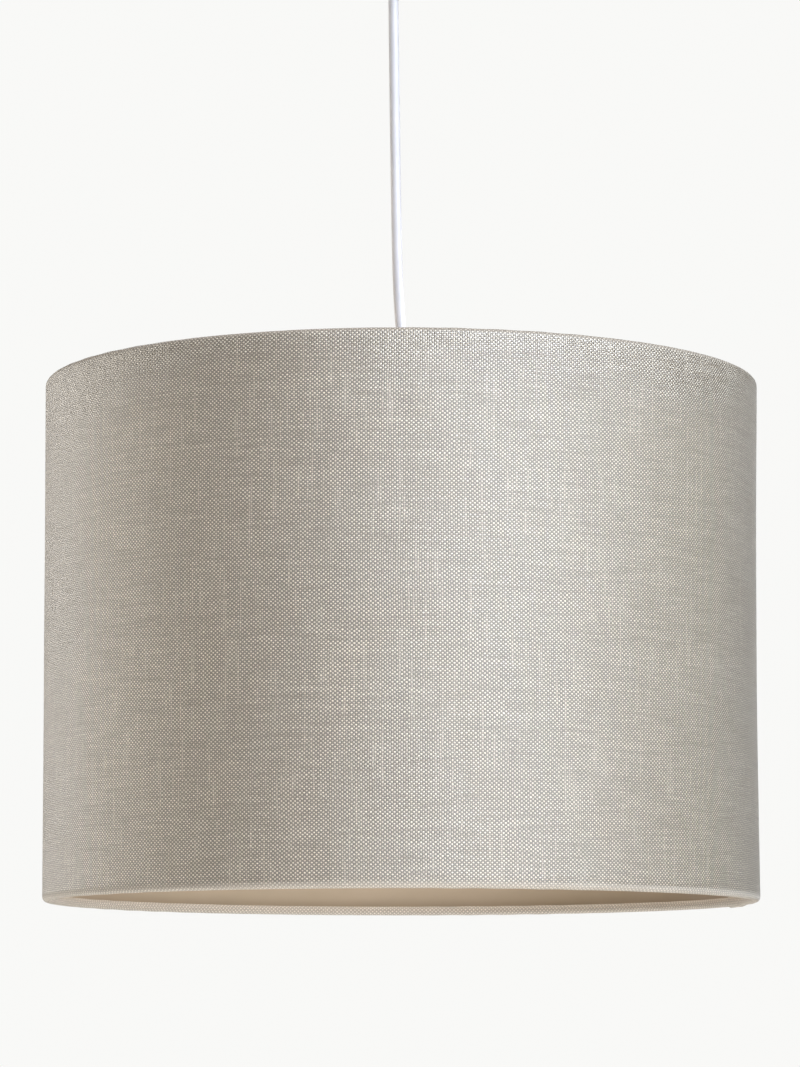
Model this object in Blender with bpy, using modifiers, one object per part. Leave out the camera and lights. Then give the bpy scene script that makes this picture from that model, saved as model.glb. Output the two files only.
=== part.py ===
"""Drum lamp shade on its pendant set: a linen drum, its wire frame, the lampholder that
carries it, and the white flex that hangs it from a ceiling rose.

Blender 4.5, metres, +Z up. The origin is on the shade's axis, in the plane of the ceiling,
so everything hangs below it.
"""

import math

import bmesh
import bpy
from mathutils import Matrix, Vector

MM = 0.001
CLEAR = 0.3 * MM  # gap between pieces that touch or slide

# Drum
SHADE_DIAMETER = 350 * MM
SHADE_HEIGHT = 253 * MM
CEILING_TO_SHADE = 240 * MM
FABRIC = 0.5 * MM
LINER = 0.5 * MM
HEM_TURN = math.radians(280)  # how far the cloth wraps round a ring
LAP_WIDTH = 12 * MM  # the cloth's outer end lies over its inner end
LAP_RAMP = 11 * MM
SEAM_STATION = 2  # the side of the many-sided drum, from +X, where the cloth's ends meet
DRUM_FLATNESS = 0.28 * MM  # a side of the many-sided drum lies this far inside its circle
FITTER_STEPS = 32

# Wire frame
RING_WIRE = 3.0 * MM
ARM_WIRE = 3.0 * MM
ARM_ANGLES = [math.radians(a) for a in (30, 150, 270)]
ARM_LEVEL_RUN = 8 * MM
HEM_NOTCH = 0.5 * MM  # cloth cut away round each arm
FITTER_DROP = 22 * MM  # fitter ring below the shade's top edge
FITTER_BORE = 42 * MM
FITTER_WIDTH = 6 * MM
FITTER_THICKNESS = 1.5 * MM

# Reducer and lampholder
HOLDER_THREAD = 28 * MM
REDUCER_PLAY = 0.6 * MM
REDUCER_FLANGE = 1.5 * MM
REDUCER_LIP = 2.5 * MM  # flange past the fitter's bore
BARREL_LENGTH = 34 * MM
BARREL_WALL = 2 * MM
FLANGE_LIP = 4 * MM  # flange past the barrel
FLANGE_THICKNESS = 2 * MM
NECK_WALL = 1.5 * MM
NECK_LENGTH = 6 * MM
LEDGE_WIDTH = 1.5 * MM
LEDGE_THICKNESS = 1.5 * MM
LEDGE_DEPTH = 10 * MM  # ledge's underside, below the flange's underside
SLEEVE_WALL = 0.5 * MM
SLOT_WIDTH = 2.6 * MM
SLOT_RISE = 9 * MM
SLOT_TURN = math.radians(28)
CAP_WALL = 1.8 * MM
CAP_SKIRT = 8 * MM
CAP_HEIGHT = 25 * MM
CAP_LAND = 0.5 * MM  # flat top of the cap past the cord grip
CAP_HOLE_PLAY = 1.7 * MM
SHADE_RING_WIDTH = 6.2 * MM
SHADE_RING_HEIGHT = 9 * MM
SHADE_RING_FLUTES = 16
FLUTE_RADIUS = 1.4 * MM

# Contacts
CONTACT_SPACING = 10.4 * MM
BLOCK_CHAMFER = 0.8 * MM
BLOCK_ROOF = 1.5 * MM
PLUNGER_RADIUS = 1.65 * MM
PLUNGER_LIP = 0.6 * MM  # plunger's flange past its stem
PLUNGER_FLANGE_THICKNESS = 1.0 * MM
PLUNGER_PROUD = 5.0 * MM
MOUTH_THICKNESS = 1.2 * MM
SPRING_ROOM = 7.6 * MM
SPRING_INSET = 0.4 * MM  # spring's coil line in from the flange's edge
SPRING_WIRE = 0.44 * MM
SPRING_TURNS = 4
CORE_PLAY = 0.4 * MM
TERMINAL_WALL = 0.7 * MM
TERMINAL_LENGTH = 4.5 * MM

# Flex
FLEX_DIAMETER = 5.0 * MM
CORE_DIAMETER = 1.6 * MM
GRIP_HEIGHT = 20.3 * MM
GRIP_WALL = 4.5 * MM
GRIP_LIP = 1.0 * MM
GRIP_MOUTH_PLAY = 1.8 * MM
GRIP_MOUTH_DEPTH = 5 * MM
GRIP_SCREW_RADIUS = 1.5 * MM
FLEX_SEAT = 3.0 * MM  # how far the free flex reaches into the grip's mouth

# Ceiling rose
ROSE_X = -4.0 * MM
ROSE_STEPS = 32
ROSE_RADIUS = 36 * MM
ROSE_PLATE = 3 * MM
ROSE_RIM = 7 * MM  # plate past the boss
ROSE_BOSS_WALL = 2.5 * MM
ROSE_BOSS_HEIGHT = 11 * MM
ROSE_COVER_WALL = 3.7 * MM
ROSE_COVER_SKIRT = 7 * MM
ROSE_HEIGHT = 30 * MM
ROSE_NOSE_WIDTH = 3.1 * MM
ROSE_SHELL = 2.2 * MM
ROSE_OUTLET_PLAY = 0.9 * MM
ROSE_SCREW_INSET = 7.5 * MM  # screw's axis in from the boss's inner wall
ROSE_SCREW_RADIUS = 1.9 * MM
ROSE_SCREW_HEAD = 4.0 * MM
ROSE_SCREW_HEAD_HEIGHT = 2.4 * MM
MAINS_ENTRY_RADIUS = 5 * MM
MAINS_ENTRY_INSET = 9.5 * MM
ROSE_BLOCK_GAP = 3 * MM  # between the block's end and a screw's head
ROSE_BLOCK_WIDTH = 11 * MM
ROSE_BLOCK_HEIGHT = 9 * MM

# The free flex's own route, from the grip's mouth up to the inside of the ceiling rose.
FLEX_ROUTE = [
    (x * MM, y * MM, z * MM)
    for x, y, z in (
        (0.00, 0.0, -216.0),
        (-0.09, 0.0, -212.5),
        (-0.45, 0.0, -207.5),
        (-1.02, 0.0, -200.0),
        (-1.52, 0.0, -190.0),
        (-1.94, 0.0, -178.0),
        (-2.25, 0.0, -165.0),
        (-2.50, 0.0, -151.0),
        (-2.72, 0.0, -137.0),
        (-2.92, 0.0, -123.0),
        (-3.11, 0.0, -109.0),
        (-3.30, 0.0, -95.0),
        (-3.48, 0.0, -81.0),
        (-3.66, 0.0, -67.0),
        (-3.83, 0.0, -53.0),
        (-3.95, 0.0, -41.0),
        (-4.00, 0.0, -30.0),
        (-4.00, 0.0, -20.0),
    )
]

# Levels and radii that follow from the sizes above
SHADE_RADIUS = SHADE_DIAMETER / 2
DRUM_STEPS = 4 * math.ceil(
    math.pi / (4 * math.acos(1 - DRUM_FLATNESS / SHADE_RADIUS))
)
SEAM_ANGLE = SEAM_STATION * 2 * math.pi / DRUM_STEPS
SHADE_TOP = -CEILING_TO_SHADE
SHADE_BOTTOM = SHADE_TOP - SHADE_HEIGHT
ROLL_INNER = RING_WIRE / 2 + CLEAR
ROLL_OUTER = ROLL_INNER + FABRIC
RING_RADIUS = SHADE_RADIUS - ROLL_OUTER
RING_INSET = ROLL_OUTER  # ring's centre in from each edge of the drum
LINER_RADIUS = SHADE_RADIUS - FABRIC - CLEAR
LINER_INSET = RING_INSET + RING_WIRE / 2
LAP_LIFT = FABRIC + CLEAR

FITTER_Z = SHADE_TOP - FITTER_DROP
FITTER_INNER = FITTER_BORE / 2
FITTER_OUTER = FITTER_INNER + FITTER_WIDTH
REDUCER_TOP = FITTER_Z + FITTER_THICKNESS / 2
REDUCER_SHOULDER = FITTER_Z - FITTER_THICKNESS / 2 - CLEAR
REDUCER_BOTTOM = REDUCER_SHOULDER - REDUCER_FLANGE

BARREL_RADIUS = HOLDER_THREAD / 2
BARREL_INNER = BARREL_RADIUS - BARREL_WALL
NECK_RADIUS = BARREL_INNER + NECK_WALL
FLANGE_RADIUS = BARREL_RADIUS + FLANGE_LIP
FLANGE_BOTTOM = REDUCER_TOP + CLEAR
FLANGE_TOP = FLANGE_BOTTOM + FLANGE_THICKNESS
BARREL_BOTTOM = FLANGE_BOTTOM - BARREL_LENGTH
LEDGE_BOTTOM = FLANGE_BOTTOM - LEDGE_DEPTH
LEDGE_TOP = LEDGE_BOTTOM + LEDGE_THICKNESS
BLOCK_BOTTOM = LEDGE_TOP + CLEAR
PLUNGER_SEAT = BLOCK_BOTTOM + MOUTH_THICKNESS + CLEAR
PLUNGER_TOP = PLUNGER_SEAT + PLUNGER_FLANGE_THICKNESS
SPRING_BOTTOM = PLUNGER_TOP + CLEAR
SPRING_TOP = SPRING_BOTTOM + SPRING_ROOM
BLOCK_TOP = SPRING_TOP + CLEAR + BLOCK_ROOF
PLUNGER_FLANGE = PLUNGER_RADIUS + PLUNGER_LIP
SPRING_RADIUS = PLUNGER_FLANGE - SPRING_INSET
TERMINAL_BORE = CORE_DIAMETER / 2 + CORE_PLAY
TERMINAL_RADIUS = TERMINAL_BORE + TERMINAL_WALL
CAP_BOTTOM = FLANGE_TOP + CLEAR
CAP_TOP = CAP_BOTTOM + CAP_HEIGHT
GRIP_BOTTOM = CAP_TOP + CLEAR
GRIP_TOP = GRIP_BOTTOM + GRIP_HEIGHT
GRIP_RADIUS = FLEX_DIAMETER / 2 + GRIP_WALL
GRIP_MOUTH = FLEX_DIAMETER / 2 + GRIP_MOUTH_PLAY
CAP_TOP_RADIUS = GRIP_RADIUS + CAP_LAND
CAP_HOLE = FLEX_DIAMETER / 2 + CAP_HOLE_PLAY
SHADE_RING_TOP = REDUCER_BOTTOM - CLEAR

ROSE_BOSS_RADIUS = ROSE_RADIUS - ROSE_RIM
ROSE_BOSS_INNER = ROSE_BOSS_RADIUS - ROSE_BOSS_WALL
ROSE_OUTLET = FLEX_DIAMETER / 2 + ROSE_OUTLET_PLAY
ROSE_NOSE_RADIUS = ROSE_OUTLET + ROSE_NOSE_WIDTH
ROSE_SCREW_REACH = ROSE_BOSS_INNER - ROSE_SCREW_INSET
ROSE_BLOCK_REACH = ROSE_SCREW_REACH - ROSE_SCREW_HEAD - ROSE_BLOCK_GAP
ROSE_BLOCK = Vector((2 * ROSE_BLOCK_REACH, ROSE_BLOCK_WIDTH, ROSE_BLOCK_HEIGHT))
ROSE_TERMINAL_REACH = ROSE_BLOCK_REACH / 2

MESH_ANGLE = math.radians(35)


def clear_scene():
    for obj in list(bpy.data.objects):
        bpy.data.objects.remove(obj, do_unlink=True)


def make_collection(name):
    found = bpy.data.collections.new(name)
    bpy.context.scene.collection.children.link(found)
    return found


def make_material(name, colour, roughness, metallic=0.0):
    found = bpy.data.materials.new(name)
    found.use_nodes = True
    shader = found.node_tree.nodes["Principled BSDF"]
    shader.inputs["Base Color"].default_value = (*colour, 1.0)
    shader.inputs["Roughness"].default_value = roughness
    shader.inputs["Metallic"].default_value = metallic
    return found


def add(name, data, finish, smooth=True):
    """Puts a mesh or curve in the object's collection under its node name."""
    obj = bpy.data.objects.new(name, data)
    PARTS.objects.link(obj)
    data.materials.append(finish)
    if smooth and obj.type == "MESH":
        data.shade_smooth()
        data.set_sharp_from_angle(angle=MESH_ANGLE)
    return obj


def arc(centre, radii, start, end, count):
    """Points of an elliptic arc in the (radius, z) plane, both ends included."""
    angles = [start + (end - start) * k / (count - 1) for k in range(count)]
    return [
        (centre[0] + radii[0] * math.cos(a), centre[1] + radii[1] * math.sin(a))
        for a in angles
    ]


def turned(name, profile, finish, steps=28, closed=True, axis=(0, 0)):
    """A profile of (radius, z) points, down its outer side, screwed round a vertical axis."""
    mesh = bpy.data.meshes.new(name)
    count = len(profile)
    edges = [(k, (k + 1) % count) for k in range(count if closed else count - 1)]
    mesh.from_pydata([(r, 0, z) for r, z in profile], edges, [])
    obj = add(name, mesh, finish, smooth=False)
    obj.location = (*axis, 0)
    screw = obj.modifiers.new("Turn", "SCREW")
    screw.steps = screw.render_steps = steps
    screw.use_merge_vertices = True
    screw.merge_threshold = 0.01 * MM
    screw.use_smooth_shade = True
    return obj


def tube(name, points, diameter, finish, resolution=2):
    """A wire or cable: a poly spline with a round bevel and filled ends."""
    curve = bpy.data.curves.new(name, "CURVE")
    curve.dimensions = "3D"
    curve.bevel_depth = diameter / 2
    curve.bevel_resolution = resolution
    curve.use_fill_caps = True
    spline = curve.splines.new("POLY")
    spline.points.add(len(points) - 1)
    for target, point in zip(spline.points, points):
        target.co = (*point, 1)
    return add(name, curve, finish)


def smooth_route(route, per_span):
    """Points on the Catmull-Rom curve through a route's own points."""
    knots = [Vector(p) for p in route]
    knots = [2 * knots[0] - knots[1], *knots, 2 * knots[-1] - knots[-2]]
    found = []
    for a, b, c, d in zip(knots, knots[1:], knots[2:], knots[3:]):
        for k in range(per_span):
            t = k / per_span
            found.append(
                0.5
                * (
                    2 * b
                    + (c - a) * t
                    + (2 * a - 5 * b + 4 * c - d) * t**2
                    + (3 * b - a - 3 * c + d) * t**3
                )
            )
    return [*found, knots[-2]]


def cutter(name, mesh):
    """A hidden helper that a Boolean takes away."""
    obj = bpy.data.objects.new(name, mesh)
    CUTTERS.objects.link(obj)
    obj.hide_render = True
    obj.display_type = "WIRE"
    return obj


def cylinder_mesh(name, places, radius, length, sides=16, turn=None):
    """Cylinders along Z, or along Z turned by a matrix, centred on each place."""
    mesh = bpy.data.meshes.new(name)
    shape = bmesh.new()
    for place in places:
        bmesh.ops.create_cone(
            shape,
            cap_ends=True,
            segments=sides,
            radius1=radius,
            radius2=radius,
            depth=length,
            matrix=Matrix.Translation(place) @ (turn or Matrix.Identity(4)),
        )
    shape.to_mesh(mesh)
    shape.free()
    return mesh


def box_mesh(name, size, centre=(0, 0, 0)):
    mesh = bpy.data.meshes.new(name)
    shape = bmesh.new()
    scale = Matrix.Diagonal((*size, 1))
    bmesh.ops.create_cube(shape, size=1, matrix=Matrix.Translation(centre) @ scale)
    shape.to_mesh(mesh)
    shape.free()
    return mesh


def cut(obj, tool):
    boolean = obj.modifiers.new("Cut " + tool.name, "BOOLEAN")
    boolean.operation = "DIFFERENCE"
    boolean.solver = "EXACT"
    boolean.object = tool


def wrapped_sheet(name, stations, finish):
    """A sheet bent round the Z axis: closed (radius, z) sections lofted from angle to angle."""
    mesh = bpy.data.meshes.new(name)
    shape = bmesh.new()
    rings = [
        [
            shape.verts.new((r * math.cos(angle), r * math.sin(angle), z))
            for r, z in section
        ]
        for angle, section in stations
    ]
    for near, far in zip(rings, rings[1:]):
        for k in range(len(near)):
            j = (k + 1) % len(near)
            shape.faces.new((near[k], near[j], far[j], far[k]))
    shape.faces.new(rings[0])
    shape.faces.new(rings[-1])
    bmesh.ops.recalc_face_normals(shape, faces=shape.faces)
    shape.to_mesh(mesh)
    shape.free()
    return add(name, mesh, finish)


def cover_section(lift):
    """The cloth's cross-section: a flat wall whose ends roll inwards round the rings."""
    points = 7
    wall = (SHADE_RADIUS - ROLL_OUTER, SHADE_BOTTOM + RING_INSET)
    low_out = arc(wall, [ROLL_OUTER + lift] * 2, 0, -HEM_TURN, points)
    low_in = arc(wall, [ROLL_INNER + lift] * 2, -HEM_TURN, 0, points)
    wall = (SHADE_RADIUS - ROLL_OUTER, SHADE_TOP - RING_INSET)
    high_in = arc(wall, [ROLL_INNER + lift] * 2, 0, HEM_TURN, points)
    high_out = arc(wall, [ROLL_OUTER + lift] * 2, HEM_TURN, 0, points)
    return low_out + low_in + high_in + high_out


def make_cover():
    """One length of linen round the drum, its outer end lapped over its inner end."""
    step = 2 * math.pi / DRUM_STEPS
    lap, ramp = LAP_WIDTH / SHADE_RADIUS, LAP_RAMP / SHADE_RADIUS
    start_of_ramp = 2 * math.pi - CLEAR * 4 / SHADE_RADIUS - ramp
    plain = [k * step for k in range(DRUM_STEPS) if k * step < start_of_ramp]
    stations = [(SEAM_ANGLE + a, cover_section(0)) for a in [*plain, start_of_ramp]]
    for angle in (start_of_ramp + ramp, 2 * math.pi + lap / 2, 2 * math.pi + lap):
        stations.append((SEAM_ANGLE + angle, cover_section(LAP_LIFT)))
    cover = wrapped_sheet("cover", stations, LINEN)

    depth = 2 * ROLL_OUTER
    for number, angle in enumerate(ARM_ANGLES, 1):
        turn = Matrix.Rotation(angle, 4, "Z") @ Matrix.Rotation(math.pi / 2, 4, "Y")
        radius = RING_RADIUS - RING_WIRE / 4 - depth / 2
        place = Vector((math.cos(angle), math.sin(angle), 0)) * radius
        place.z = SHADE_TOP - RING_INSET
        notch = ARM_WIRE / 2 + HEM_NOTCH
        mesh = cylinder_mesh(f"notch_{number}", [place], notch, depth, 12, turn)
        cut(cover, cutter(f"notch_{number}", mesh))


def make_liner():
    """The stiff sheet that the linen is laid on, its ends butted at the seam."""
    low, high = SHADE_BOTTOM + LINER_INSET, SHADE_TOP - LINER_INSET
    wall = [(LINER_RADIUS, high), (LINER_RADIUS, low)]
    liner = turned("liner", wall, STYRENE, steps=DRUM_STEPS, closed=False)
    butt = CLEAR / LINER_RADIUS
    liner.rotation_euler.z = SEAM_ANGLE + butt
    screw = liner.modifiers["Turn"]
    screw.angle = 2 * math.pi - 2 * butt
    screw.use_merge_vertices = False
    solidify = liner.modifiers.new("Thickness", "SOLIDIFY")
    solidify.thickness = LINER
    solidify.offset = -1


def make_ring(name, z):
    """A wire hoop that the cloth's edge is rolled round."""
    bpy.ops.mesh.primitive_torus_add(
        location=(0, 0, z),
        major_segments=DRUM_STEPS,
        minor_segments=8,
        major_radius=RING_RADIUS,
        minor_radius=RING_WIRE / 2,
    )
    hoop = bpy.context.object
    mesh = hoop.data
    bpy.data.objects.remove(hoop)
    mesh.name = name
    ring = add(name, mesh, WHITE_STEEL)
    ring.location = (0, 0, z)


def make_arms():
    """Three wires from the top ring down to the fitter ring."""
    outer = RING_RADIUS - RING_WIRE / 2 - CLEAR
    inner = FITTER_OUTER + CLEAR
    high = SHADE_TOP - RING_INSET
    route = [
        (outer, high),
        (outer - ARM_LEVEL_RUN, high),
        (outer - 1.6 * ARM_LEVEL_RUN, high - 1 * MM),
        (inner + 1.6 * ARM_LEVEL_RUN, FITTER_Z + 1 * MM),
        (inner + ARM_LEVEL_RUN, FITTER_Z),
        (inner, FITTER_Z),
    ]
    for number, angle in enumerate(ARM_ANGLES, 1):
        arm = tube(f"arm_{number}", [(r, 0, z) for r, z in route], ARM_WIRE, WHITE_STEEL)
        arm.rotation_euler.z = angle


def make_fitter_ring():
    low, high = FITTER_Z - FITTER_THICKNESS / 2, FITTER_Z + FITTER_THICKNESS / 2
    turned(
        "fitter_ring",
        [
            (FITTER_INNER, high),
            (FITTER_OUTER, high),
            (FITTER_OUTER, low),
            (FITTER_INNER, low),
        ],
        WHITE_STEEL,
        steps=FITTER_STEPS,
    )


def make_reducer_ring():
    """The push-in ring that brings the fitter's bore down to the lampholder's thread."""
    bore = BARREL_RADIUS + REDUCER_PLAY
    spigot = FITTER_INNER - CLEAR
    lip = FITTER_INNER + REDUCER_LIP
    turned(
        "reducer_ring",
        [
            (bore, REDUCER_TOP),
            (spigot - CLEAR, REDUCER_TOP),
            (spigot, REDUCER_TOP - CLEAR),
            (spigot, REDUCER_SHOULDER),
            (lip, REDUCER_SHOULDER),
            (lip, REDUCER_BOTTOM + CLEAR),
            (lip - CLEAR, REDUCER_BOTTOM),
            (bore, REDUCER_BOTTOM),
        ],
        WHITE_PLASTIC,
        steps=FITTER_STEPS,
    )


def make_holder_body():
    """The lampholder's moulding: neck for the cap, flange, and threaded barrel."""
    bore = BARREL_INNER
    neck_top = FLANGE_TOP + NECK_LENGTH
    turned(
        "holder_body",
        [
            (bore, neck_top),
            (NECK_RADIUS, neck_top),
            (NECK_RADIUS, FLANGE_TOP),
            (FLANGE_RADIUS, FLANGE_TOP),
            (FLANGE_RADIUS, FLANGE_BOTTOM),
            (BARREL_RADIUS, FLANGE_BOTTOM),
            (BARREL_RADIUS, BARREL_BOTTOM),
            (bore, BARREL_BOTTOM),
            (bore, LEDGE_BOTTOM),
            (bore - LEDGE_WIDTH, LEDGE_BOTTOM),
            (bore - LEDGE_WIDTH, LEDGE_TOP),
            (bore, LEDGE_TOP),
        ],
        WHITE_PLASTIC,
    )


def make_bayonet_sleeve():
    """The thin metal sleeve with the two J-shaped slots that hold a bulb's pins."""
    outer = BARREL_INNER - CLEAR
    inner = outer - SLEEVE_WALL
    top = LEDGE_BOTTOM - CLEAR
    sleeve = turned(
        "bayonet_sleeve",
        [(inner, top), (outer, top), (outer, BARREL_BOTTOM), (inner, BARREL_BOTTOM)],
        BRASS,
        steps=32,
    )
    depth = 4 * SLEEVE_WALL
    for number, side in enumerate((0, math.pi), 1):
        for leg, angle, low, high in (
            ("rise", 0.0, -SLOT_RISE, SLOT_RISE),
            ("turn", SLOT_TURN, SLOT_RISE - SLOT_WIDTH, SLOT_RISE),
            ("seat", SLOT_TURN, SLOT_RISE - 1.5 * SLOT_WIDTH, SLOT_RISE),
        ):
            width = SLOT_WIDTH
            if leg == "turn":
                angle, width = SLOT_TURN / 2, outer * SLOT_TURN
            size = (depth, width, high - low)
            mesh = box_mesh(f"slot_{leg}_{number}", size, (outer, 0, (low + high) / 2))
            tool = cutter(f"slot_{leg}_{number}", mesh)
            tool.location.z = BARREL_BOTTOM
            tool.rotation_euler.z = side + angle + math.pi / 2
            cut(sleeve, tool)


def contact_places(z):
    return [Vector((side * CONTACT_SPACING / 2, 0, z)) for side in (-1, 1)]


def make_contact_block():
    """The insulating block that the two sprung contacts slide in."""
    radius = BARREL_INNER - CLEAR
    block = turned(
        "contact_block",
        [
            (0, BLOCK_TOP),
            (radius - BLOCK_CHAMFER, BLOCK_TOP),
            (radius, BLOCK_TOP - BLOCK_CHAMFER),
            (radius, BLOCK_BOTTOM),
            (0, BLOCK_BOTTOM),
        ],
        CERAMIC,
        closed=False,
    )
    chamber = PLUNGER_FLANGE + CLEAR
    room = SPRING_TOP + CLEAR - (PLUNGER_SEAT - CLEAR)
    middle = PLUNGER_SEAT - CLEAR + room / 2
    places = contact_places(middle)
    mesh = cylinder_mesh("contact_chambers", places, chamber, room)
    cut(block, cutter("contact_chambers", mesh))
    places = contact_places((BLOCK_BOTTOM + BLOCK_TOP) / 2)
    mouth = PLUNGER_RADIUS + CLEAR
    through = 1.5 * (BLOCK_TOP - BLOCK_BOTTOM)
    mesh = cylinder_mesh("contact_mouths", places, mouth, through)
    cut(block, cutter("contact_mouths", mesh))


def make_plungers():
    """Two brass contacts that a bulb's cap pushes up against their springs."""
    tip = BLOCK_BOTTOM - PLUNGER_PROUD
    for name, place in zip(("plunger_left", "plunger_right"), contact_places(0)):
        dome = arc((0, tip + PLUNGER_RADIUS), [PLUNGER_RADIUS] * 2, 0, -math.pi / 2, 5)
        profile = [
            (0, PLUNGER_TOP),
            (PLUNGER_FLANGE, PLUNGER_TOP),
            (PLUNGER_FLANGE, PLUNGER_SEAT),
            (PLUNGER_RADIUS, PLUNGER_SEAT),
            *dome[:-1],
            (0, tip),
        ]
        turned(name, profile, BRASS, steps=16, closed=False, axis=place[:2])


def make_springs():
    """The coil spring above each contact."""
    per_turn = 9
    count = SPRING_TURNS * per_turn
    low, high = SPRING_BOTTOM + SPRING_WIRE / 2, SPRING_TOP - SPRING_WIRE / 2
    for name, place in zip(("spring_left", "spring_right"), contact_places(0)):
        points = []
        for k in range(count + 1):
            angle = 2 * math.pi * k / per_turn
            points.append(
                (
                    place.x + SPRING_RADIUS * math.cos(angle),
                    place.y + SPRING_RADIUS * math.sin(angle),
                    low + (high - low) * k / count,
                )
            )
        tube(name, points, SPRING_WIRE, STEEL)


def make_holder_terminals():
    """Brass sockets on the block that the flex's cores go into."""
    low = BLOCK_TOP + CLEAR
    high = low + TERMINAL_LENGTH
    names = ("holder_terminal_left", "holder_terminal_right")
    for name, place in zip(names, contact_places(0)):
        profile = [
            (TERMINAL_BORE, high),
            (TERMINAL_RADIUS, high),
            (TERMINAL_RADIUS, low),
            (TERMINAL_BORE, low),
        ]
        turned(name, profile, BRASS, steps=16, axis=place[:2])


def make_holder_cap():
    """The domed cap over the terminals, screwed on the body's neck."""
    outer = NECK_RADIUS + CLEAR + 2 * CAP_WALL
    skirt_top = CAP_BOTTOM + CAP_SKIRT
    rise = CAP_TOP - skirt_top
    points = 6
    dome = arc(
        (CAP_TOP_RADIUS, skirt_top),
        (outer - CAP_TOP_RADIUS, rise),
        math.pi / 2,
        0,
        points,
    )
    hollow = arc(
        (CAP_HOLE, skirt_top),
        (outer - CAP_WALL - CAP_HOLE, rise - CAP_WALL),
        0,
        math.pi / 2,
        points,
    )
    profile = [
        (CAP_HOLE, CAP_TOP),
        *dome,
        (outer, CAP_BOTTOM),
        (NECK_RADIUS + CLEAR, CAP_BOTTOM),
        (NECK_RADIUS + CLEAR, FLANGE_TOP + NECK_LENGTH + CLEAR),
        (outer - CAP_WALL, FLANGE_TOP + NECK_LENGTH + 2 * CLEAR),
        *hollow,
    ]
    turned("holder_cap", profile, WHITE_PLASTIC)


def make_cord_grip():
    """The tapered collar that clamps the flex, with its clamping screw."""
    grip = turned(
        "cord_grip",
        [
            (GRIP_MOUTH, GRIP_TOP),
            (GRIP_MOUTH + GRIP_LIP, GRIP_TOP),
            (GRIP_RADIUS, GRIP_TOP - GRIP_HEIGHT / 2),
            (GRIP_RADIUS, GRIP_BOTTOM),
            (FLEX_DIAMETER / 2 + CLEAR, GRIP_BOTTOM),
            (FLEX_DIAMETER / 2 + CLEAR, GRIP_TOP - GRIP_MOUTH_DEPTH),
        ],
        WHITE_PLASTIC,
        steps=24,
    )
    sideways = Matrix.Rotation(math.pi / 2, 4, "Y")
    height = GRIP_BOTTOM + GRIP_HEIGHT / 4
    place = Vector((GRIP_RADIUS, 0, height))
    radius = GRIP_SCREW_RADIUS + CLEAR
    length = 2 * (GRIP_RADIUS - FLEX_DIAMETER / 2 - CLEAR / 2)
    mesh = cylinder_mesh("grip_tapping", [place], radius, length, 12, sideways)
    cut(grip, cutter("grip_tapping", mesh))

    inner = FLEX_DIAMETER / 2 + 2 * CLEAR
    length = GRIP_RADIUS - inner
    place = Vector((inner + length / 2, 0, height))
    mesh = cylinder_mesh("grip_screw", [place], GRIP_SCREW_RADIUS, length, 12, sideways)
    add("grip_screw", mesh, STEEL)


def make_shade_ring():
    """The fluted ring nut that clamps the reducer, and so the shade, from below."""
    inner = BARREL_RADIUS + CLEAR
    outer = inner + SHADE_RING_WIDTH
    low = SHADE_RING_TOP - SHADE_RING_HEIGHT
    chamfer = 0.8 * MM
    ring = turned(
        "shade_ring",
        [
            (inner, SHADE_RING_TOP),
            (outer - chamfer, SHADE_RING_TOP),
            (outer, SHADE_RING_TOP - chamfer),
            (outer, low + chamfer),
            (outer - chamfer, low),
            (inner, low),
        ],
        WHITE_PLASTIC,
        steps=32,
    )
    places = []
    for k in range(SHADE_RING_FLUTES):
        angle = 2 * math.pi * (k + 0.5) / SHADE_RING_FLUTES
        place = Vector((math.cos(angle), math.sin(angle), 0)) * (outer + FLUTE_RADIUS / 2)
        place.z = (SHADE_RING_TOP + low) / 2
        places.append(place)
    mesh = cylinder_mesh("flutes", places, FLUTE_RADIUS, 2 * SHADE_RING_HEIGHT, 8)
    cut(ring, cutter("flutes", mesh))


def make_flex():
    """The free flex, the stretch clamped in the grip, and its cores inside the cap."""
    tube("flex", smooth_route(FLEX_ROUTE, 2), FLEX_DIAMETER, WHITE_PVC)
    top = GRIP_TOP - FLEX_SEAT - 2 * CLEAR
    bottom = CAP_TOP - CAP_WALL
    tail = [(0, 0, top), (0, 0, (top + bottom) / 2), (0, 0, bottom)]
    tube("flex_tail", tail, FLEX_DIAMETER, WHITE_PVC)

    start = bottom - CLEAR - CORE_DIAMETER / 4
    terminal_top = BLOCK_TOP + CLEAR + TERMINAL_LENGTH
    end = terminal_top - TERMINAL_LENGTH / 2
    drop = start - end
    sides = (("left", -1, BROWN_CORE), ("right", 1, BLUE_CORE))
    for side, way, finish in sides:
        reach = CONTACT_SPACING / 2
        near = CORE_DIAMETER / 2 + CLEAR
        route = [
            (way * near, 0, start),
            (way * (near + 0.1 * reach), 0, start - 0.2 * drop),
            (way * (near + reach) * 0.62, 0, start - 0.45 * drop),
            (way * reach, 0, terminal_top + 0.12 * drop),
            (way * reach, 0, end),
        ]
        name = f"holder_core_{side}"
        tube(name, smooth_route(route, 2), CORE_DIAMETER, finish)


def rose_axis():
    return (ROSE_X, 0)


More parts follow.
